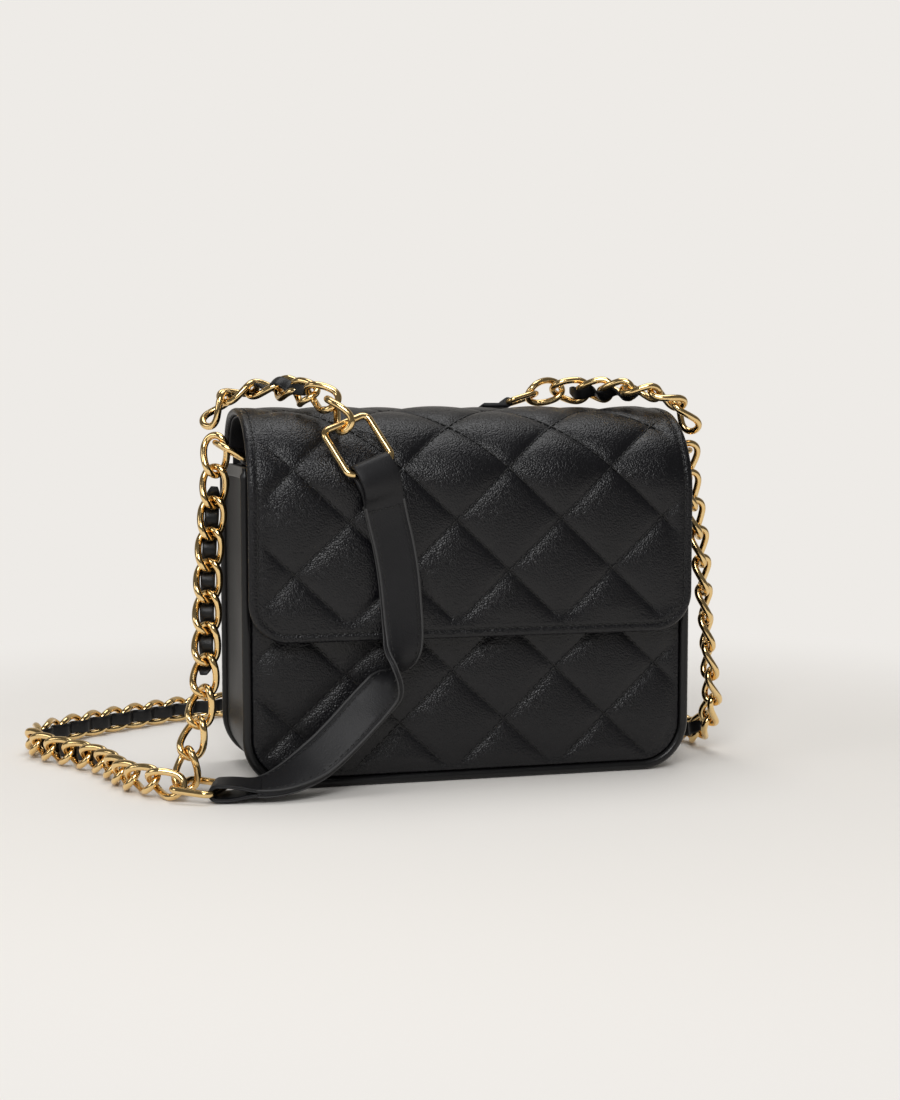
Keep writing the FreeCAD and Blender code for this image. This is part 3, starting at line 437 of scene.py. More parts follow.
DIAMOND_WIDE = 46.5
DIAMOND_TALL = 44.0
QUILT_ROW = FLAP_LENGTH - 72.5
FLAP_PLAN = (98.0, FLAP_LENGTH, 17.0)
PANEL_PLAN = (96.0, 132.0, 18.0)
flap_quilt = {"wide": DIAMOND_WIDE, "tall": DIAMOND_TALL, "x": 14.4, "s": QUILT_ROW, "crease": 1.8, "depth": 2.5}
panel_quilt = dict(flap_quilt, s=BODY_HEIGHT - 26.0)
flap_build = {
    "step": 1.15, "crest": 2.5, "inner": -1.5, "rim": 3.8, "rim_drop": 0.9, "ease": 9.0, "groove": 0.5, "roll": 1.7,
}
panel_build = {
    "step": 1.15, "crest": 2.0, "inner": -2.0, "rim": 0.0, "rim_drop": 1.5, "ease": 8.0, "groove": 0.0, "roll": 1.0,
}
for name, sheet, body, solid in (
    ("flap", (on_flap, FLAP_PLAN, flap_quilt, flap_build), "flap", "flap_shell"),
    ("front", (on_front, PANEL_PLAN, panel_quilt, panel_build), "bag", "front_panel"),
    ("back", (on_back, PANEL_PLAN, panel_quilt, panel_build), "bag", "back_panel"),
):
    leather = new_piece(
        f"{name}_quilted_leather", *quilted_sheet(*sheet), pebbled_leather, body, "quilted_leather", [solid]
    )

# %% [markdown]
# Stitches are short pieces of thread that dive into the leather at both ends. One stitch is a small spindle of a few
# faces, and all the stitches of a seam are one mesh: the spindle is carried to every place by one array product.


# %% Stitch helpers
SPINDLE_ALONG = np.array([-1, -0.8, -0.3, 0.3, 0.8, 1])
SPINDLE_GIRTH = np.array([0.15, 0.6, 1, 1, 0.6, 0.15])
SPINDLE_SIDES = 6


def spindles(places, along, normals, length, thickness):
    """One spindle at each place: rings of a circle whose girth swells from its ends to its middle."""
    turn = np.linspace(0, 2 * math.pi, SPINDLE_SIDES, endpoint=False)
    forward = np.repeat(SPINDLE_ALONG * length / 2, SPINDLE_SIDES)
    girth = np.repeat(SPINDLE_GIRTH * thickness / 2, SPINDLE_SIDES)
    side = girth * np.tile(np.cos(turn), len(SPINDLE_ALONG))
    up = girth * np.tile(np.sin(turn), len(SPINDLE_ALONG))
    along = unit(along)
    across = unit(np.cross(normals, along))
    lift = np.cross(along, across)
    shape = np.stack([forward, side, up])
    axes = np.stack([along, across, lift], 1)
    points = places[:, None, :] + np.einsum("ck,nci->nki", shape, axes)
    one = np.array(grid_faces(len(SPINDLE_ALONG), SPINDLE_SIDES, closed=True))
    count = shape.shape[1]
    quads = (one[None] + np.arange(len(places))[:, None, None] * count).reshape(-1, 4).tolist()
    ring = np.arange(SPINDLE_SIDES)
    ends = np.stack([ring[::-1], ring + count - SPINDLE_SIDES])
    caps = (ends[None] + np.arange(len(places))[:, None, None] * count).reshape(-1, SPINDLE_SIDES).tolist()
    return points.reshape(-1, 3), quads + caps


def sheet_frame(carrier, x, s, n):
    """Place, and the two slopes along x and s, of a sheet at one level: slopes are small central differences."""
    small = 0.05
    place = carrier(x, s, n)
    by_x = carrier(x + small, s, n) - carrier(x - small, s, n)
    by_s = carrier(x, s + small, n) - carrier(x, s - small, n)
    return place, unit(by_x), unit(by_s)


def seam_places(plan, quilt, pitch, margin):
    """Places (x, s) and slopes of the stitches on both sets of seams, inside a margin from the sheet's edge."""
    half_width, length, _ = plan
    reach = math.ceil(half_width / quilt["wide"] + length / quilt["tall"]) + 2
    lines = np.arange(-reach, reach + 1)[:, None]
    slant = math.hypot(quilt["wide"], quilt["tall"])
    s = np.arange(0, length, pitch * quilt["tall"] / slant)[None, :]
    along = (s - quilt["s"]) / quilt["tall"]
    places = []
    for lean in (-1, 1):
        x = quilt["x"] + quilt["wide"] * (lines + lean * along)
        rows = np.broadcast_to(s, x.shape)
        keep = edge_distance(x, rows, *plan) > margin
        slope = np.broadcast_to([lean * quilt["wide"] / slant, quilt["tall"] / slant], (keep.sum(), 2))
        places.append((x[keep], rows[keep], slope))
    return [np.concatenate(part) for part in zip(*places)]


def edge_line(plan, inset, pitch):
    """Places (x, s) at one inset from the sheet's two sides and lower edge, at an even pitch, with their slopes."""
    half_width, length, corner = plan
    radius = corner - inset
    side = length - corner - inset
    bottom = 2 * (half_width - corner)
    arc = radius * math.pi / 2
    marks = np.cumsum([0, side, arc, bottom, arc, side])
    run = np.arange(pitch / 2, marks[-1], pitch)
    down = np.clip(run, 0, side) - np.clip(run - marks[4], 0, side)
    first = np.clip((run - marks[1]) / radius, 0, math.pi / 2)
    second = np.clip((run - marks[3]) / radius, 0, math.pi / 2)
    turn = first + second
    bend = radius * (1 - np.cos(first)) + radius * np.sin(second)
    x = -(half_width - inset) + bend + np.clip(run - marks[2], 0, bottom)
    s = inset + down + radius * np.sin(first) - radius * (1 - np.cos(second))
    return x, s, np.stack([np.sin(turn), np.cos(turn)], -1)


def stitches_on(carrier, x, s, slope, level, length):
    """Stitches on a sheet at the places (x, s), each along its own slope."""
    place, by_x, by_s = sheet_frame(carrier, x, s, level)
    along = by_x * slope[:, :1] + by_s * slope[:, 1:]
    return spindles(place, along, np.cross(by_s, by_x), length, THREAD)


# %% Stitches of the flap and the panels
STITCH_PITCH = 3.6
STITCH_LENGTH = 2.9
THREAD = 0.75
TOP_PITCH = 3.3
TOP_LENGTH = 2.5
TOP_SINK = 1.25
THREAD_RISE = 0.4
FLAP_MARGIN = 5.5
PANEL_MARGIN = 5.0
flap_valley = flap_build["crest"] - flap_quilt["depth"] + THREAD_RISE
flap_seams = seam_places(FLAP_PLAN, flap_quilt, STITCH_PITCH, FLAP_MARGIN)
flap_row = edge_line(FLAP_PLAN, flap_build["rim"], TOP_PITCH)
flap_thread = join([
    stitches_on(on_flap, *flap_seams, flap_valley, STITCH_LENGTH),
    stitches_on(on_flap, *flap_row, flap_build["crest"] - TOP_SINK, TOP_LENGTH),
])
new_piece("flap_stitches", *flap_thread, black_thread, "flap", "quilted_leather")
panel_valley = panel_build["crest"] - panel_quilt["depth"] + THREAD_RISE
panel_seams = seam_places(PANEL_PLAN, panel_quilt, STITCH_PITCH, PANEL_MARGIN)
for side, carrier in (("front", on_front), ("back", on_back)):
    thread = stitches_on(carrier, *panel_seams, panel_valley, STITCH_LENGTH)
    new_piece(f"{side}_panel_stitches", *thread, black_thread, "bag", "quilted_leather")

# %% [markdown]
# The flap's underside is faced with plain leather, set in a little from the edge, so the edge shows two layers.

# %% Flap facing
FACING_INSET = 2.0
FACING_START = 4.0
FACING_PLAN = (96.0, FLAP_LENGTH - FACING_INSET, 15.0)
facing_build = {
    "step": 3.0, "crest": -1.55, "inner": -2.5, "rim": 0.0, "rim_drop": 0.0, "ease": 1.0, "groove": 0.0, "roll": 0.5,
}


def under_flap(x, s, n):
    """Point of the flap's facing: it starts a little way along the flap from the hinge."""
    shorter = (FLAP_LENGTH - FACING_INSET - FACING_START) / (FLAP_LENGTH - FACING_INSET)
    return on_flap(x, s * shorter + FACING_START, n)


plain = dict(flap_quilt, depth=0.0)
new_piece(
    "flap_facing", *quilted_sheet(under_flap, FACING_PLAN, plain, facing_build), smooth_leather, "flap",
    "lining_cloth", ["flap_lining"],
)

# %% [markdown]
# The gusset is one band of leather that goes down one side, under the base and up the other side. It is a line of
# straight runs and quarter circles, carried from front to back. Between the seams its sides are drawn in a little.

# %% Gusset, welts and folded top edges
GUSSET_HALF = 98.0
CORNER = 22.0
SEAM_Y = 31.0
SIDE_SAG = 1.8
SAG_FROM = 20
SAG_RISE = 40


def u_line(half, top, low, radius, step):
    """A U in the X Z plane from its left top to its right top, as (points, outward normals).

    It is a straight side, a quarter circle, the base, a quarter circle and a straight side.
    """
    side = top - low - radius
    base = 2 * (half - radius)
    arc = radius * math.pi / 2
    marks = np.cumsum([0, side, arc, base, arc, side])
    run = np.concatenate([np.linspace(a, b, max(3, round((b - a) / step)), endpoint=False)
                          for a, b in zip(marks, marks[1:])] + [marks[-1:]])
    turn = np.clip((run - marks[1]) / radius, 0, math.pi / 2) + np.clip((run - marks[3]) / radius, 0, math.pi / 2)
    normal = np.stack([-np.cos(turn), np.sin(turn) * 0, -np.sin(turn)], -1)
    heading = np.stack([np.sin(turn), np.sin(turn) * 0, -np.cos(turn)], -1)
    middle = (heading[1:] + heading[:-1]) / 2
    steps = np.linalg.norm(middle, axis=1, keepdims=True)
    chord = middle / steps * np.diff(run)[:, None]
    points = np.array([-half, 0, top]) + np.concatenate([np.zeros((1, 3)), np.cumsum(chord, 0)])
    share = np.linspace(0, 1, len(points))[:, None]
    return points + share * (np.array([half, 0, top]) - points[-1]), normal


def gusset_sag(points, y):
    """How far the gusset is drawn in: most half way between its seams, on the sides and not under the base."""
    upright = smooth((points[:, None, 2] - SAG_FROM) / SAG_RISE)
    return SIDE_SAG * upright * (1 - (y[None, :] / SEAM_Y) ** 2)


def band(half, low, radius, thickness, depth, sag):
    """A U band carried from front to back: an outer and an inner face joined by rolled edges."""
    points, normal = u_line(half, BODY_HEIGHT, low, radius, 3.0)
    y = np.linspace(-depth, depth, 25)
    drawn = sag(points, y)
    outer = points[:, None, :] + np.array([0, 1, 0]) * y[None, :, None] - normal[:, None, :] * drawn[..., None]
    inner = (outer - normal[:, None, :] * thickness)[:, ::-1]
    rings = np.concatenate([outer, inner], 1)
    return rings.reshape(-1, 3), tube_faces(len(rings), rings.shape[1])


new_piece(
    "side_and_base_gusset", *band(GUSSET_HALF, 0.0, CORNER, 3.0, SEAM_Y, gusset_sag), gusset_leather, "bag",
    "quilted_leather", ["gusset"],
)


def tube_along(points, radius, sides):
    """A round tube: at each point a circle in the plane across the line, in the line's own turning frame."""
    heading = unit(np.gradient(points, axis=0))
    across = np.array([0.0, 1.0, 0.0]) - heading * heading[:, 1:2]
    across = unit(across)
    up = np.cross(heading, across)
    turn = np.linspace(0, 2 * math.pi, sides, endpoint=False)
    ring = np.cos(turn)[None, :, None] * across[:, None, :] + np.sin(turn)[None, :, None] * up[:, None, :]
    rings = points[:, None, :] + ring * np.broadcast_to(radius, len(points))[:, None, None]
    return rings.reshape(-1, 3), tube_faces(len(points), sides)


WELT_RADIUS = 2.0
for side, sign in (("front", -1), ("back", 1)):
    line, _ = u_line(GUSSET_HALF, BODY_HEIGHT, WELT_RADIUS, CORNER - WELT_RADIUS, 1.5)
    line[:, 1] = sign * (SEAM_Y + WELT_RADIUS)
    ripple = 1 - 0.025 * np.abs(np.sin(np.arange(len(line)) * 1.3 + sign))
    ends = np.clip(np.minimum(np.arange(len(line)), np.arange(len(line))[::-1]) / 2, 0.35, 1)
    new_piece(
        f"{side}_welt", *tube_along(line, WELT_RADIUS * ripple * ends, 16), welt_leather, "bag", "smooth_leather",
        [f"{side}_piping"],
    )

FOLD_HEIGHT = 5.0
FOLD_THICK = 0.8


def fold_strip(sign):
    """The turned top edge of one gusset side: a rounded strip that follows the drawn-in side."""
    y = np.linspace(-SEAM_Y + 0.3, SEAM_Y - 0.3, 31)
    turn = np.linspace(0, 2 * math.pi, 20, endpoint=False)
    out = np.sign(np.cos(turn)) * np.abs(np.cos(turn)) ** 0.5 * FOLD_THICK / 2
    up = np.sign(np.sin(turn)) * np.abs(np.sin(turn)) ** 0.3 * FOLD_HEIGHT / 2
    sag = SIDE_SAG * (1 - (y / SEAM_Y) ** 2)
    x = GUSSET_HALF + FOLD_THICK / 2 - sag[:, None] + out[None, :]
    z = BODY_HEIGHT - FOLD_HEIGHT / 2 + up[None, :] + 0 * x
    rings = np.stack([sign * x, np.broadcast_to(y[:, None], x.shape), z], -1)
    return rings.reshape(-1, 3), tube_faces(len(y), len(turn))


for side, sign in (("left", -1), ("right", 1)):
    new_piece(
        f"{side}_gusset_fold", *fold_strip(sign), welt_leather, "bag", "smooth_leather", [f"{side}_gusset_facing"],
    )

# %% [markdown]
# Inside is a cloth lining: a U band and two walls with rounded lower corners, sewn into a thin open box. A flat slip
# pocket is sewn on its back wall.

# %% Lining and slip pocket
LINING_HALF = 92.6
LINING_LOW = 5.0
LINING_DEPTH = 30.8
LINING_CORNER = 19.0
CLOTH = 0.8


def no_sag(points, y):
    """A band that is not drawn in."""
    return np.zeros((len(points), len(y)))


def lining_wall(sign):
    """One upright wall of the lining: a thin sheet between its rounded lower corners."""
    def carrier(x, s, n):
        return np.stack(np.broadcast_arrays(x, sign * (LINING_DEPTH - CLOTH / 2 + n), BODY_HEIGHT - s), -1)

    build = dict(facing_build, crest=CLOTH / 2, inner=-CLOTH / 2, roll=0.3, step=4.0)
    return quilted_sheet(carrier, (LINING_HALF, BODY_HEIGHT - LINING_LOW, LINING_CORNER), plain, build)


lining_u = band(LINING_HALF, LINING_LOW, LINING_CORNER, CLOTH, LINING_DEPTH - CLOTH, no_sag)
lining_parts = [lining_u, lining_wall(-1), lining_wall(1)]
new_piece("lining_bag", *join(lining_parts), lining_cloth, "bag", "lining_cloth", ["lining"])


POCKET_PLAN = (60.0, 80.0, 6.0)
POCKET_Y = 29.4
POCKET_TOP = 114.0
MOUTH_GAPE = 0.5
MOUTH_DEPTH = 30


def pocket_face(x, s, n):
    """Point of the slip pocket on the lining's back wall, whose mouth gapes a little at its middle."""
    gape = MOUTH_GAPE * (1 - (x / POCKET_PLAN[0]) ** 2) * smooth(1 - s / MOUTH_DEPTH)
    return np.stack(np.broadcast_arrays(x, POCKET_Y - n - gape, POCKET_TOP - s), -1)


pocket_build = dict(facing_build, crest=0.6, inner=-0.6, rim=2.0, groove=0.15, roll=0.5, step=2.0)
new_piece(
    "slip_pocket_cloth", *quilted_sheet(pocket_face, POCKET_PLAN, plain, pocket_build), lining_cloth, "bag",
    "lining_cloth", ["slip_pocket"],
)

# %% [markdown]
# Each D-ring is held by a leather tab that is folded round its bar. Seen from the side the tab is a keyhole: a round
# head on the bar and a flat stem. The outline is carried across the tab's width, a little smaller at its two edges.

# %% Tabs
HEAD_RADIUS = 2.25
TAB_HALF = 4.5
HALF_STEM = 0.9
SIDE_BAR = (93.8, -10.0, 138.6)
SIDE_STEM = 20.0
TOP_STEM = 12.0
TOP_OFFSET = -1.3


def tab(bar, stem_way, across, length, half_stem, offset):
    """A keyhole outline carried along the bar: a round head, and a stem of two straight sides and an end."""
    ahead = np.array(stem_way, float)
    side = np.array(across, float)
    up = np.cross(ahead, side)
    low = math.asin(np.clip((offset + half_stem) / HEAD_RADIUS, -1, 1))
    high = math.asin(np.clip((offset - half_stem) / HEAD_RADIUS, -1, 1))
    turn = np.linspace(low, 2 * math.pi + high, 28)
    head = np.stack([np.cos(turn), np.sin(turn)], -1) * HEAD_RADIUS
    tip = np.linspace(-math.pi / 2, math.pi / 2, 9)
    foot = np.stack([length - half_stem + np.cos(tip) * half_stem, offset + np.sin(tip) * half_stem], -1)
    outline = np.concatenate([head, foot])
    middle = np.array([length * 0.3, offset])
    rows = []
    for y, share in ((-1, 0.88), (-0.93, 1), (0.93, 1), (1, 0.88)):
        flat = middle + (outline - middle) * share
        rows.append(bar + flat[:, :1] * ahead + flat[:, 1:] * up + side * y * TAB_HALF)
    rings = np.stack(rows)
    return rings.reshape(-1, 3), tube_faces(len(rows), len(outline))


for side, sign in (("left", -1), ("right", 1)):
    bar = np.array(SIDE_BAR) * [sign, 1, 1]
    side_tab = tab(bar, (0, 0, -1), (0, 1, 0), SIDE_STEM, HALF_STEM, 0.0)
    new_piece(f"{side}_ring_tab", *side_tab, smooth_leather, "bag", "smooth_leather", [f"{side}_tab"])
low, high = (np.array(corner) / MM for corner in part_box("flap_top_tab"))
top_normal = np.array([0.0, 0.19, 0.98])
top_bar = np.array([high[0] - HEAD_RADIUS, (low[1] + high[1]) / 2, (low[2] + high[2]) / 2])
top_tab = tab(top_bar, (-1, 0, 0), np.cross(top_normal, (-1, 0, 0)), TOP_STEM, HALF_STEM, TOP_OFFSET)
new_piece("flap_top_ring_tab", *top_tab, smooth_leather, "flap", "smooth_leather", ["flap_top_tab"])

# %% [markdown]
# A lace is a flat band of leather along one face of the chain. It dips into the opening of each link and passes
# behind each joint. The links stand in the CAD, so their middles and axes are read from the loose parts of its mesh,
# and the lace follows a smooth spline whose control points lie in and beside them.


# %% Read the links
def loose_parts(points, triangles):
    """A label for each point: the least number that spreads to it over the triangles it belongs to."""
    labels = np.arange(len(points))
    while True:
        least = labels[triangles].min(1)
        fresh = labels.copy()
        np.minimum.at(fresh, triangles.ravel(), np.repeat(least, 3))
        fresh = fresh[fresh]
        if (fresh == labels).all():
            return labels
        labels = fresh


def node_points(name):
    """The points of a CAD node's mesh, in millimetres."""
    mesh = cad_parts[name].data
    flat = np.empty(len(mesh.vertices) * 3, np.float32)
    mesh.vertices.foreach_get("co", flat)
    return flat.reshape(-1, 3) / MM


def chain_links(name, start):
    """Middles, headings, widths and normals of a chain's links in order, in millimetres.

    The axes are the principal directions of each link's own points, and each next link is the nearest one left.
    """
    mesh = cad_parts[name].data
    mesh.calc_loop_triangles()
    corners = np.empty(len(mesh.loop_triangles) * 3, np.int32)
    mesh.loop_triangles.foreach_get("vertices", corners)
    points, same = np.unique(np.round(node_points(name), 3), axis=0, return_inverse=True)
    labels = loose_parts(points, same.ravel()[corners].reshape(-1, 3))
    middles, axes = [], []
    for label in np.unique(labels):
        own = points[labels == label]
        middles.append((own.min(0) + own.max(0)) / 2)
        axes.append(np.linalg.eigh(np.cov((own - own.mean(0)).T))[1].T[::-1])
    middles, axes = np.array(middles), np.array(axes)
    order = [int(np.linalg.norm(middles - start, axis=1).argmin())]
    while len(order) < len(middles):
        gaps = np.linalg.norm(middles - middles[order[-1]], axis=1)
        gaps[order] = np.inf
        order.append(int(gaps.argmin()))
    return middles[order], axes[order]


def facing_same_way(vectors, hint):
    """Vectors turned so that each points the way of the one before it, and the first the way of the hint."""
    turned = vectors.copy()
    before = np.array(hint, float)
    for i in range(len(turned)):
        turned[i] *= np.sign(turned[i] @ before) or 1
        before = turned[i]
    return turned


def spline_points(controls, resolution):
    """Points read from a NURBS spline of order 3 with these control points, in millimetres."""
    curve = bpy.data.curves.new("route", "CURVE")
    curve.dimensions = "3D"
    curve.resolution_u = resolution
    spline = curve.splines.new("NURBS")
    spline.points.add(len(controls) - 1)
    spline.points.foreach_set("co", np.concatenate([controls * MM, np.ones((len(controls), 1))], 1).ravel())
    spline.order_u = 3
    spline.use_endpoint_u = True
    holder = bpy.data.objects.new("route", curve)
    mesh = bpy.data.meshes.new_from_object(holder)
    flat = np.empty(len(mesh.vertices) * 3, np.float32)
    mesh.vertices.foreach_get("co", flat)
    bpy.data.meshes.remove(mesh)
    bpy.data.objects.remove(holder)
    bpy.data.curves.remove(curve)
    return flat.reshape(-1, 3).astype(float) / MM


def along_spline(points, controls, values):
    """Values given at the control points, carried to the spline's points by each control's nearest point."""
    nearest = np.linalg.norm(points[None] - controls[:, None], axis=-1).argmin(1)
    nearest = np.maximum.accumulate(nearest) + np.arange(len(nearest)) * 1e-6
    index = np.arange(len(points))
    return np.stack([np.interp(index, nearest, values[:, k]) for k in range(values.shape[1])], -1)


def flat_band(points, sides, half_width, half_thick, section):
    """A band along a line: its section, in shares of the half width and half thickness, stands across the heading."""
    heading = unit(np.gradient(points, axis=0))
    across = unit(sides - heading * (sides * heading).sum(-1, keepdims=True))
    up = np.cross(heading, across)
    wide = section[None, :, 0] * np.broadcast_to(half_width, len(points))[:, None]
    high = section[None, :, 1] * np.broadcast_to(half_thick, len(points))[:, None]
    rings = points[:, None] + across[:, None] * wide[..., None] + up[:, None] * high[..., None]
    return rings.reshape(-1, 3), tube_faces(len(points), len(section))


# %% Laces
LACE_HALF = 3.1
LACE_THICK = 0.65
BEHIND_JOINT = 5.4
INTO_LINK = -0.6
turn = np.linspace(0, 2 * math.pi, 14, endpoint=False)
LACE_SECTION = np.stack([
    np.sign(np.cos(turn)) * np.abs(np.cos(turn)) ** 0.6, np.sign(np.sin(turn)) * np.abs(np.sin(turn)) ** 0.6,
], -1)


def make_lace(name, chain, start, first, last, body):
    """The lace of one run: its controls lie inside each link and behind each joint, on the side of the CAD lace."""
    middles, axes = chain_links(chain, np.array(start))
    middles, axes = middles[first:last], axes[first:last]
    plain_lace = chain.replace("chain", "lace")
    beside = node_points(plain_lace)
    nearest = beside[np.linalg.norm(beside - middles[0], axis=1).argmin()]
    widths = facing_same_way(axes[:, 1], axes[0, 1])
    normals = facing_same_way(axes[:, 2], nearest - middles[0])
    joints = (middles[1:] + middles[:-1]) / 2 + BEHIND_JOINT * unit(normals[1:] + normals[:-1])
    controls = np.empty((len(middles) + len(joints), 3))
    controls[0::2], controls[1::2] = middles + INTO_LINK * normals, joints
    sides = np.empty_like(controls)
    sides[0::2], sides[1::2] = widths, widths[1:] + widths[:-1]
    points = spline_points(controls, 6)
    carried = along_spline(points, controls, sides)
    ends = np.clip(np.minimum(np.arange(len(points)), np.arange(len(points))[::-1]) / 3 + 0.5, 0, 1)
    mesh = flat_band(points, carried, LACE_HALF * ends, LACE_THICK * ends, LACE_SECTION)
    piece = new_piece(name, *mesh, lace_leather, body, "smooth_leather", [plain_lace])


make_lace("left_drop_lace", "chain_left_drop", (-107, -10, 142), 1, -3, "bag")
make_lace("floor_lace", "chain_floor", (-128, -36, 6), 3, None, "bag")
make_lace("top_left_lace", "chain_top_left", (-105, 4, 150), 1, -2, "flap")
make_lace("top_right_lace", "chain_top_right", (105, -13, 150), 2, -1, "flap")

# %% [markdown]
# The shoulder strap is two plies of smooth leather with painted edges, folded round a ring at each end. It hangs over
# the flap, turns over below the flap's edge and lies down to the floor at the left. Its middle line is a smooth
# spline with the route's points as its control points, and at each a side says which way the width lies.

# %% Strap route
STRAP_HALF = 8.5
PLY = 1.6
FALL = math.radians(31)
RING_TURN = math.radians(24)
RING_LIFT = 3.7
RING_WIRE_HALF = 1.5
RING_RADIUS = FRONT_RADIUS + flap_build["crest"] + RING_WIRE_HALF + RING_LIFT
UPPER_RING_X = -52.0
LOWER_RING = (-119.0, -42.0, 5.03)
LEAD = 8
UPPER_BAR_OFFSET = 11.5
LOWER_BAR_OFFSET = 8.5
upper_middle = np.array([
    UPPER_RING_X, FRONT_CENTRE[0] - RING_RADIUS * math.cos(FALL), FRONT_CENTRE[1] + RING_RADIUS * math.sin(FALL),
])
downhill = np.array([0, -math.sin(FALL), -math.cos(FALL)])
upper_legs = downhill * math.cos(RING_TURN) + np.array([1, 0, 0]) * math.sin(RING_TURN)
upper_bars = np.array([1, 0, 0]) * math.cos(RING_TURN) - downhill * math.sin(RING_TURN)
upper_bar = upper_middle + upper_legs * UPPER_BAR_OFFSET
lower_legs = unit(np.array([-0.87, 0.49, 0.08]))
lower_bar = np.array(LOWER_RING) - lower_legs * LOWER_BAR_OFFSET
STRAP_ROUTE = [
    ((-41.7, -45.8, 120.9), (0.98, 0.0, 0.2)),
    ((-36.0, -45.8, 97.5), (0.99, 0.05, 0.08)),
    ((-33.8, -45.8, 72.1), (0.98, 0.12, 0.03)),
    ((-33.8, -47.6, 61.2), (0.93, 0.32, 0.12)),
    ((-36.0, -48.7, 51.7), (0.53, 0.73, 0.42)),
    ((-42.0, -48.0, 43.5), (-0.15, 0.5, 0.85)),
    ((-50.0, -47.6, 35.4), (-0.5, 0.42, 0.73)),
    ((-60.0, -49.0, 25.2), (-0.58, 0.5, 0.6)),
    ((-72.0, -51.1, 15.0), (-0.58, 0.6, 0.5)),
    ((-86.0, -51.8, 7.5), (-0.22, 0.92, 0.28)),
    ((-100.0, -49.0, 4.5), (0.3, 0.95, 0.05)),
]
route = [(upper_bar, upper_bars), (upper_bar + upper_legs * LEAD, upper_bars)]
route += [(np.array(place), np.array(side)) for place, side in STRAP_ROUTE]
route += [(lower_bar, np.array([0.49, 0.87, 0]))]
strap_controls = np.array([place for place, _ in route])
strap_sides = unit(np.array([side for _, side in route]))
strap_line = spline_points(strap_controls, 14)
strap_across = along_spline(strap_line, strap_controls, strap_sides)
strap_run = np.concatenate([[0], np.cumsum(np.linalg.norm(np.diff(strap_line, axis=0), axis=1))])
print("strap", round(strap_run[-1]), "mm, at", len(strap_line), "places")

# %% Strap leather
STRAP_SECTION = np.array([
    (-0.93, 1), (-0.6, 1.02), (0, 1.04), (0.6, 1.02), (0.93, 1), (0.985, 0.8), (1, 0.5), (0.99, 0.2), (0.965, 0),
    (0.99, -0.2), (1, -0.5), (0.985, -0.8), (0.93, -1), (0.6, -1.02), (0, -1.04), (-0.6, -1.02), (-0.93, -1),
    (-0.985, -0.8), (-1, -0.5), (-0.99, -0.2), (-0.965, 0), (-0.99, 0.2), (-1, 0.5), (-0.985, 0.8),
])
LOOP_RADIUS = 2.9
LOOP_LENGTH = 19.0
LOOP_OPEN = 3
strap_heading = unit(np.gradient(strap_line, axis=0))
strap_across = unit(strap_across - strap_heading * (strap_across * strap_heading).sum(-1, keepdims=True))
strap_up = np.cross(strap_heading, strap_across)


def loop_line(line, heading, up, run):
    """The middle line of one ply round a bar: down one side, half a circle round the bar, and back on the other side.

    The plies part from half a ply each to the loop's radius, and the bar is at the line's start.
    """
    near = run < LOOP_LENGTH
    apart = PLY / 2 + (LOOP_RADIUS - PLY / 2) * (1 - smooth((run[near] - LOOP_OPEN) / (LOOP_LENGTH - LOOP_OPEN)))
    front = line[near] + up[near] * apart[:, None]
    back = line[near] - up[near] * apart[:, None]
    turn = np.linspace(0, math.pi, 13)[1:-1, None]
    round_bar = line[0] + LOOP_RADIUS * (np.cos(turn) * up[0] - np.sin(turn) * heading[0])
    return np.concatenate([front[::-1], round_bar, back])


def strap_loop(line, heading, across, up, run):
    """One ply of the strap round a bar, as a closed band."""
    path = loop_line(line, heading, up, run)
    near = run < LOOP_LENGTH
    round_bar = np.broadcast_to(across[0], (len(path) - 2 * near.sum(), 3))
    sides = np.concatenate([across[near][::-1], round_bar, across[near]])
    return flat_band(path, sides, STRAP_HALF, PLY / 2, STRAP_SECTION)


joined = (strap_run > LOOP_LENGTH - LOOP_OPEN) & (strap_run < strap_run[-1] - LOOP_LENGTH + LOOP_OPEN)
strap_parts = [
    flat_band(strap_line[joined], strap_across[joined], STRAP_HALF, PLY, STRAP_SECTION),
    strap_loop(strap_line, strap_heading, strap_across, strap_up, strap_run),
    strap_loop(
        strap_line[::-1], -strap_heading[::-1], strap_across[::-1], strap_up[::-1], strap_run[-1] - strap_run[::-1]
    ),
]
strap = new_piece(
    "shoulder_strap_leather", *join(strap_parts), smooth_leather, None, "smooth_leather", ["shoulder_strap"],
)

# %% [markdown]
# The strap's cut edges are painted. The edge paint is real, but it is made a lighter black than the strap as a
# painted highlight along the edges. Each edge has a row of stitches. Above the place where the two plies meet, a row
# of stitches crosses the strap.

# %% Strap edges and stitches
STRAP_INSET = 2.0
EDGE_PAINT = 0.5
EDGE_SHARE = 0.9
STRAP_THREAD = 0.6
ROW_PITCH = 3.0
ROW_LENGTH = 2.2
CROSS_PITCH = 2.6
CROSS_LENGTH = 2.1
CROSS_RISE = 0.1


def at_run(values, run):
    """Values along the strap at given distances from its upper bar."""
    return np.stack([np.interp(run, strap_run, values[:, k]) for k in range(3)], -1)


def painted_edge(side, face):
    """A thin bead of edge paint along one ply's edge, between the two loops; its lighter tone is a painted highlight.
    """
    out = strap_across[joined] * side * (STRAP_HALF - EDGE_PAINT / 2)
    line = strap_line[joined] + out + strap_up[joined] * face * EDGE_SHARE * PLY
    bead = np.array([(1, 1), (-1, 1), (-1, -1), (1, -1)])
    return flat_band(line, strap_across[joined], EDGE_PAINT, EDGE_PAINT / 2, bead)


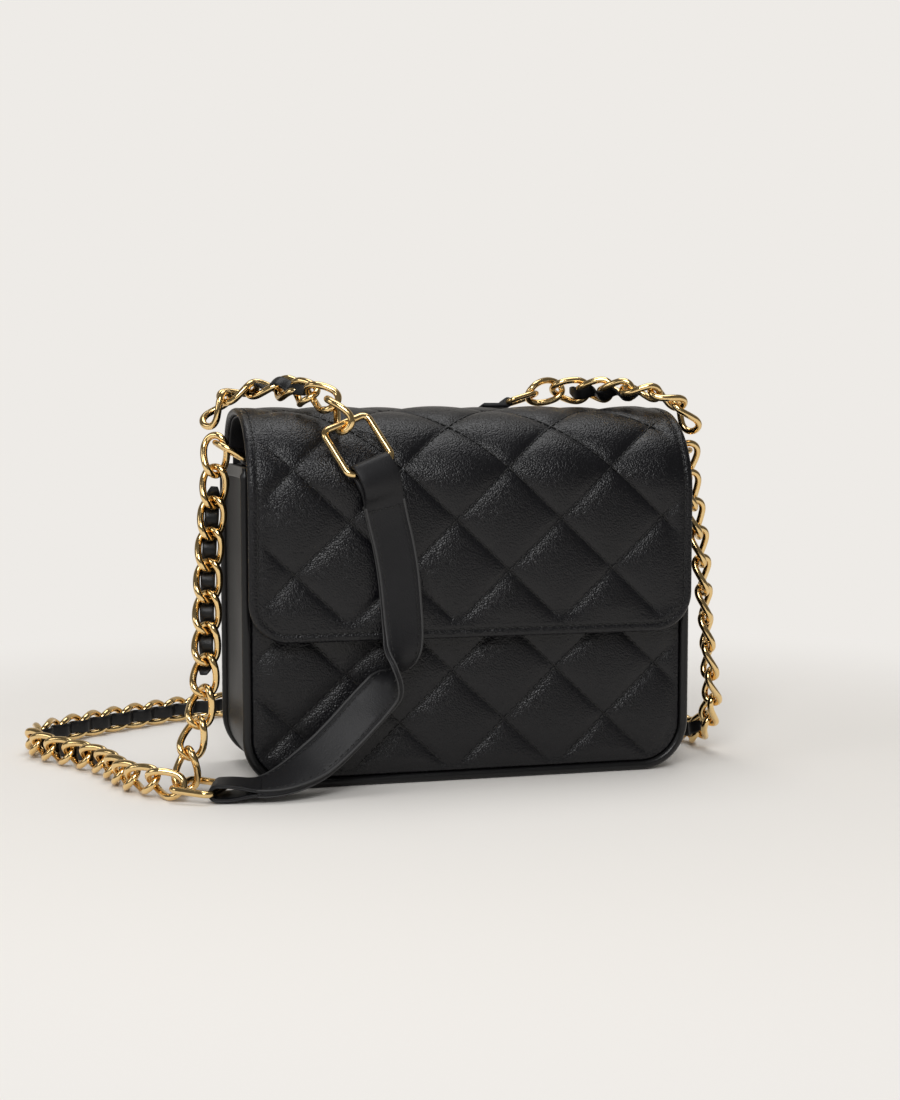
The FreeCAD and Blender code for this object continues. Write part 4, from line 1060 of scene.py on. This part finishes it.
def strap_row(side, face):
    """Stitches along one edge on one face of the strap, at an even pitch between its two loops."""
    run = np.arange(LOOP_LENGTH + 1, strap_run[-1] - LOOP_LENGTH, ROW_PITCH)
    up = at_run(strap_up, run)
    place = at_run(strap_line, run) + at_run(strap_across, run) * side * (STRAP_HALF - STRAP_INSET) + up * face * PLY
    return spindles(place, at_run(strap_heading, run), up, ROW_LENGTH, STRAP_THREAD)


def cross_row(run, face):
    """Stitches across the strap at one distance along it."""
    share = np.arange(-STRAP_HALF + STRAP_INSET + CROSS_PITCH / 2, STRAP_HALF - STRAP_INSET, CROSS_PITCH)[:, None]
    run = np.full(len(share), run)
    across, up = at_run(strap_across, run), at_run(strap_up, run)
    place = at_run(strap_line, run) + across * share + up * face * (PLY + CROSS_RISE)
    return spindles(place, across, up, CROSS_LENGTH, STRAP_THREAD)


edge_beads = join([painted_edge(side, face) for side in (-1, 1) for face in (-1, 1)])
strap_edges = new_piece("strap_edge_coat_and_highlight", *edge_beads, edge_coat_and_highlight, None, "smooth_leather")
strap_thread = join(
    [strap_row(side, face) for side in (-1, 1) for face in (-1, 1)]
    + [cross_row(LOOP_LENGTH, -1), cross_row(LOOP_LENGTH, 1)]
)
strap_stitches = new_piece("strap_stitches", *strap_thread, black_thread, None, "smooth_leather")
for piece in (strap, strap_edges, strap_stitches):
    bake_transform(piece)

# %% [markdown]
# The back panel's leather runs on into the flap. The bend between them is a thin strip on the line of the hinge: its
# lower part lies along the back panel and its upper part along the flap's bent line.

# %% Back bend
BACK_BEND_HALF = 94.0
BACK_BEND_THICK = 0.7
BACK_BEND_OVERLAP = 8.0
low_places = np.linspace(BACK_BEND_OVERLAP, BODY_HEIGHT - HINGE_Z, 9)
high_places = np.linspace(0, BACK_BEND_OVERLAP, 9)[1:]
back_bend_line = np.concatenate([on_back(0.0, low_places, 0.0), on_flap(0.0, high_places, 0.0)])
back_bend_sides = np.broadcast_to([1.0, 0.0, 0.0], back_bend_line.shape)
back_bend_mesh = flat_band(back_bend_line, back_bend_sides, BACK_BEND_HALF, BACK_BEND_THICK, LACE_SECTION)
back_bend = new_piece("back_bend", *back_bend_mesh, smooth_leather, None, "smooth_leather")
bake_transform(back_bend)
print("back bend", round(np.linalg.norm(np.diff(back_bend_line, axis=0), axis=1).sum()), "mm long")

# %% [markdown]
# The bag stands on a pale sheet that bends up into a wall behind it, so that no horizon shows. Round the bag the
# sheet is plain paper, which takes the shadows. Further off it goes over to the paper's own even tone for the camera
# alone, so the background stays level. Soft boxes in front, at the left and above give the highlights on the leather.

# %% Floor and backdrop
SWEEP_FAR = 1500.0
SWEEP_RADIUS = 900.0
SWEEP_NEAR = -2500.0
SWEEP_TOP = 3500.0
SWEEP_HALF = 4000.0
SWEEP_TURN = math.radians(15)
PAPER_TONE = "#eeebe7"
FADE_FROM = 0.2
FADE_TO = 0.5


def backdrop_sheet():
    """A floor, a quarter circle and a wall in one profile, carried across the picture."""
    turn = np.linspace(0, math.pi / 2, 24)
    floor = np.array([[SWEEP_NEAR, 0.0]])
    curve = np.stack([SWEEP_FAR + SWEEP_RADIUS * np.sin(turn), SWEEP_RADIUS * (1 - np.cos(turn))], -1)
    profile = np.concatenate([floor, curve, [[SWEEP_FAR + SWEEP_RADIUS, SWEEP_TOP]]])
    across = np.linspace(-SWEEP_HALF, SWEEP_HALF, 9)
    back = np.array([math.sin(SWEEP_TURN), math.cos(SWEEP_TURN), 0])
    side = np.array([back[1], -back[0], 0])
    points = profile[:, None, :1] * back + across[None, :, None] * side + profile[:, None, 1:] * np.array([0, 0, 1])
    return points, grid_faces(len(profile), len(across))


backdrop_material, tree, shader, coords = new_material(
    "pale_paper_backdrop", {"Base Color": linear(PAPER_TONE), "Roughness": 0.9, "Specular IOR Level": 0.1}
)
far = node(tree, "ShaderNodeVectorMath", {0: coords}, operation="LENGTH")["Value"]
fade = node(
    tree, "ShaderNodeMapRange", {"Value": far, "From Min": FADE_FROM, "From Max": FADE_TO},
    interpolation_type="SMOOTHSTEP",
)["Result"]
seen = node(tree, "ShaderNodeLightPath", {})["Is Camera Ray"]
share = node(tree, "ShaderNodeMath", {0: fade, 1: seen}, operation="MULTIPLY")["Value"]
tone = node(tree, "ShaderNodeEmission", {"Color": linear(PAPER_TONE), "Strength": 1.0})["Emission"]
mixed = node(tree, "ShaderNodeMixShader", {0: share, 1: shader.outputs["BSDF"], 2: tone})["Shader"]
tree.links.new(mixed, tree.nodes["Material Output"].inputs["Surface"])
points, faces = backdrop_sheet()
mesh = bpy.data.meshes.new("backdrop")
mesh.from_pydata((points.reshape(-1, 3) * MM).tolist(), [], [face[::-1] for face in faces])
mesh.shade_smooth()
backdrop = bpy.data.objects.new("backdrop", mesh)
mesh.materials.append(backdrop_material)
bpy.context.scene.collection.objects.link(backdrop)


# %% Lamps and world
def soft_lamp(name, place, target, size, power):
    """A square soft box that faces its target."""
    data = bpy.data.lights.new(name, "AREA")
    data.shape = "SQUARE"
    data.size = size
    data.energy = power
    lamp = bpy.data.objects.new(name, data)
    lamp.location = place
    aim = np.array(target) - np.array(place)
    lamp.rotation_euler = (math.acos(-aim[2] / np.linalg.norm(aim)), 0, math.atan2(aim[1], aim[0]) - math.pi / 2)
    bpy.context.scene.collection.objects.link(lamp)


soft_lamp("key_box", (-0.5, -1.3, 1.1), (0, 0, 0.1), 0.7, 13)
soft_lamp("left_box", (-1.4, -0.25, 0.7), (0, 0, 0.1), 0.6, 2.5)
soft_lamp("top_box", (0.1, 0.2, 1.7), (0, 0, 0), 1.0, 10)
world = bpy.data.worlds.new("studio_world")
bpy.context.scene.world = world
world.use_nodes = True
tree = world.node_tree
glossy = node(tree, "ShaderNodeLightPath", {})["Is Glossy Ray"]
strength = node(tree, "ShaderNodeMapRange", {"Value": glossy, "To Min": 0.4, "To Max": 0.12})["Result"]
tree.nodes["Background"].inputs["Color"].default_value = linear("#f4f2ee")
tree.links.new(strength, tree.nodes["Background"].inputs["Strength"])
bpy.context.scene.view_settings.view_transform = "Standard"
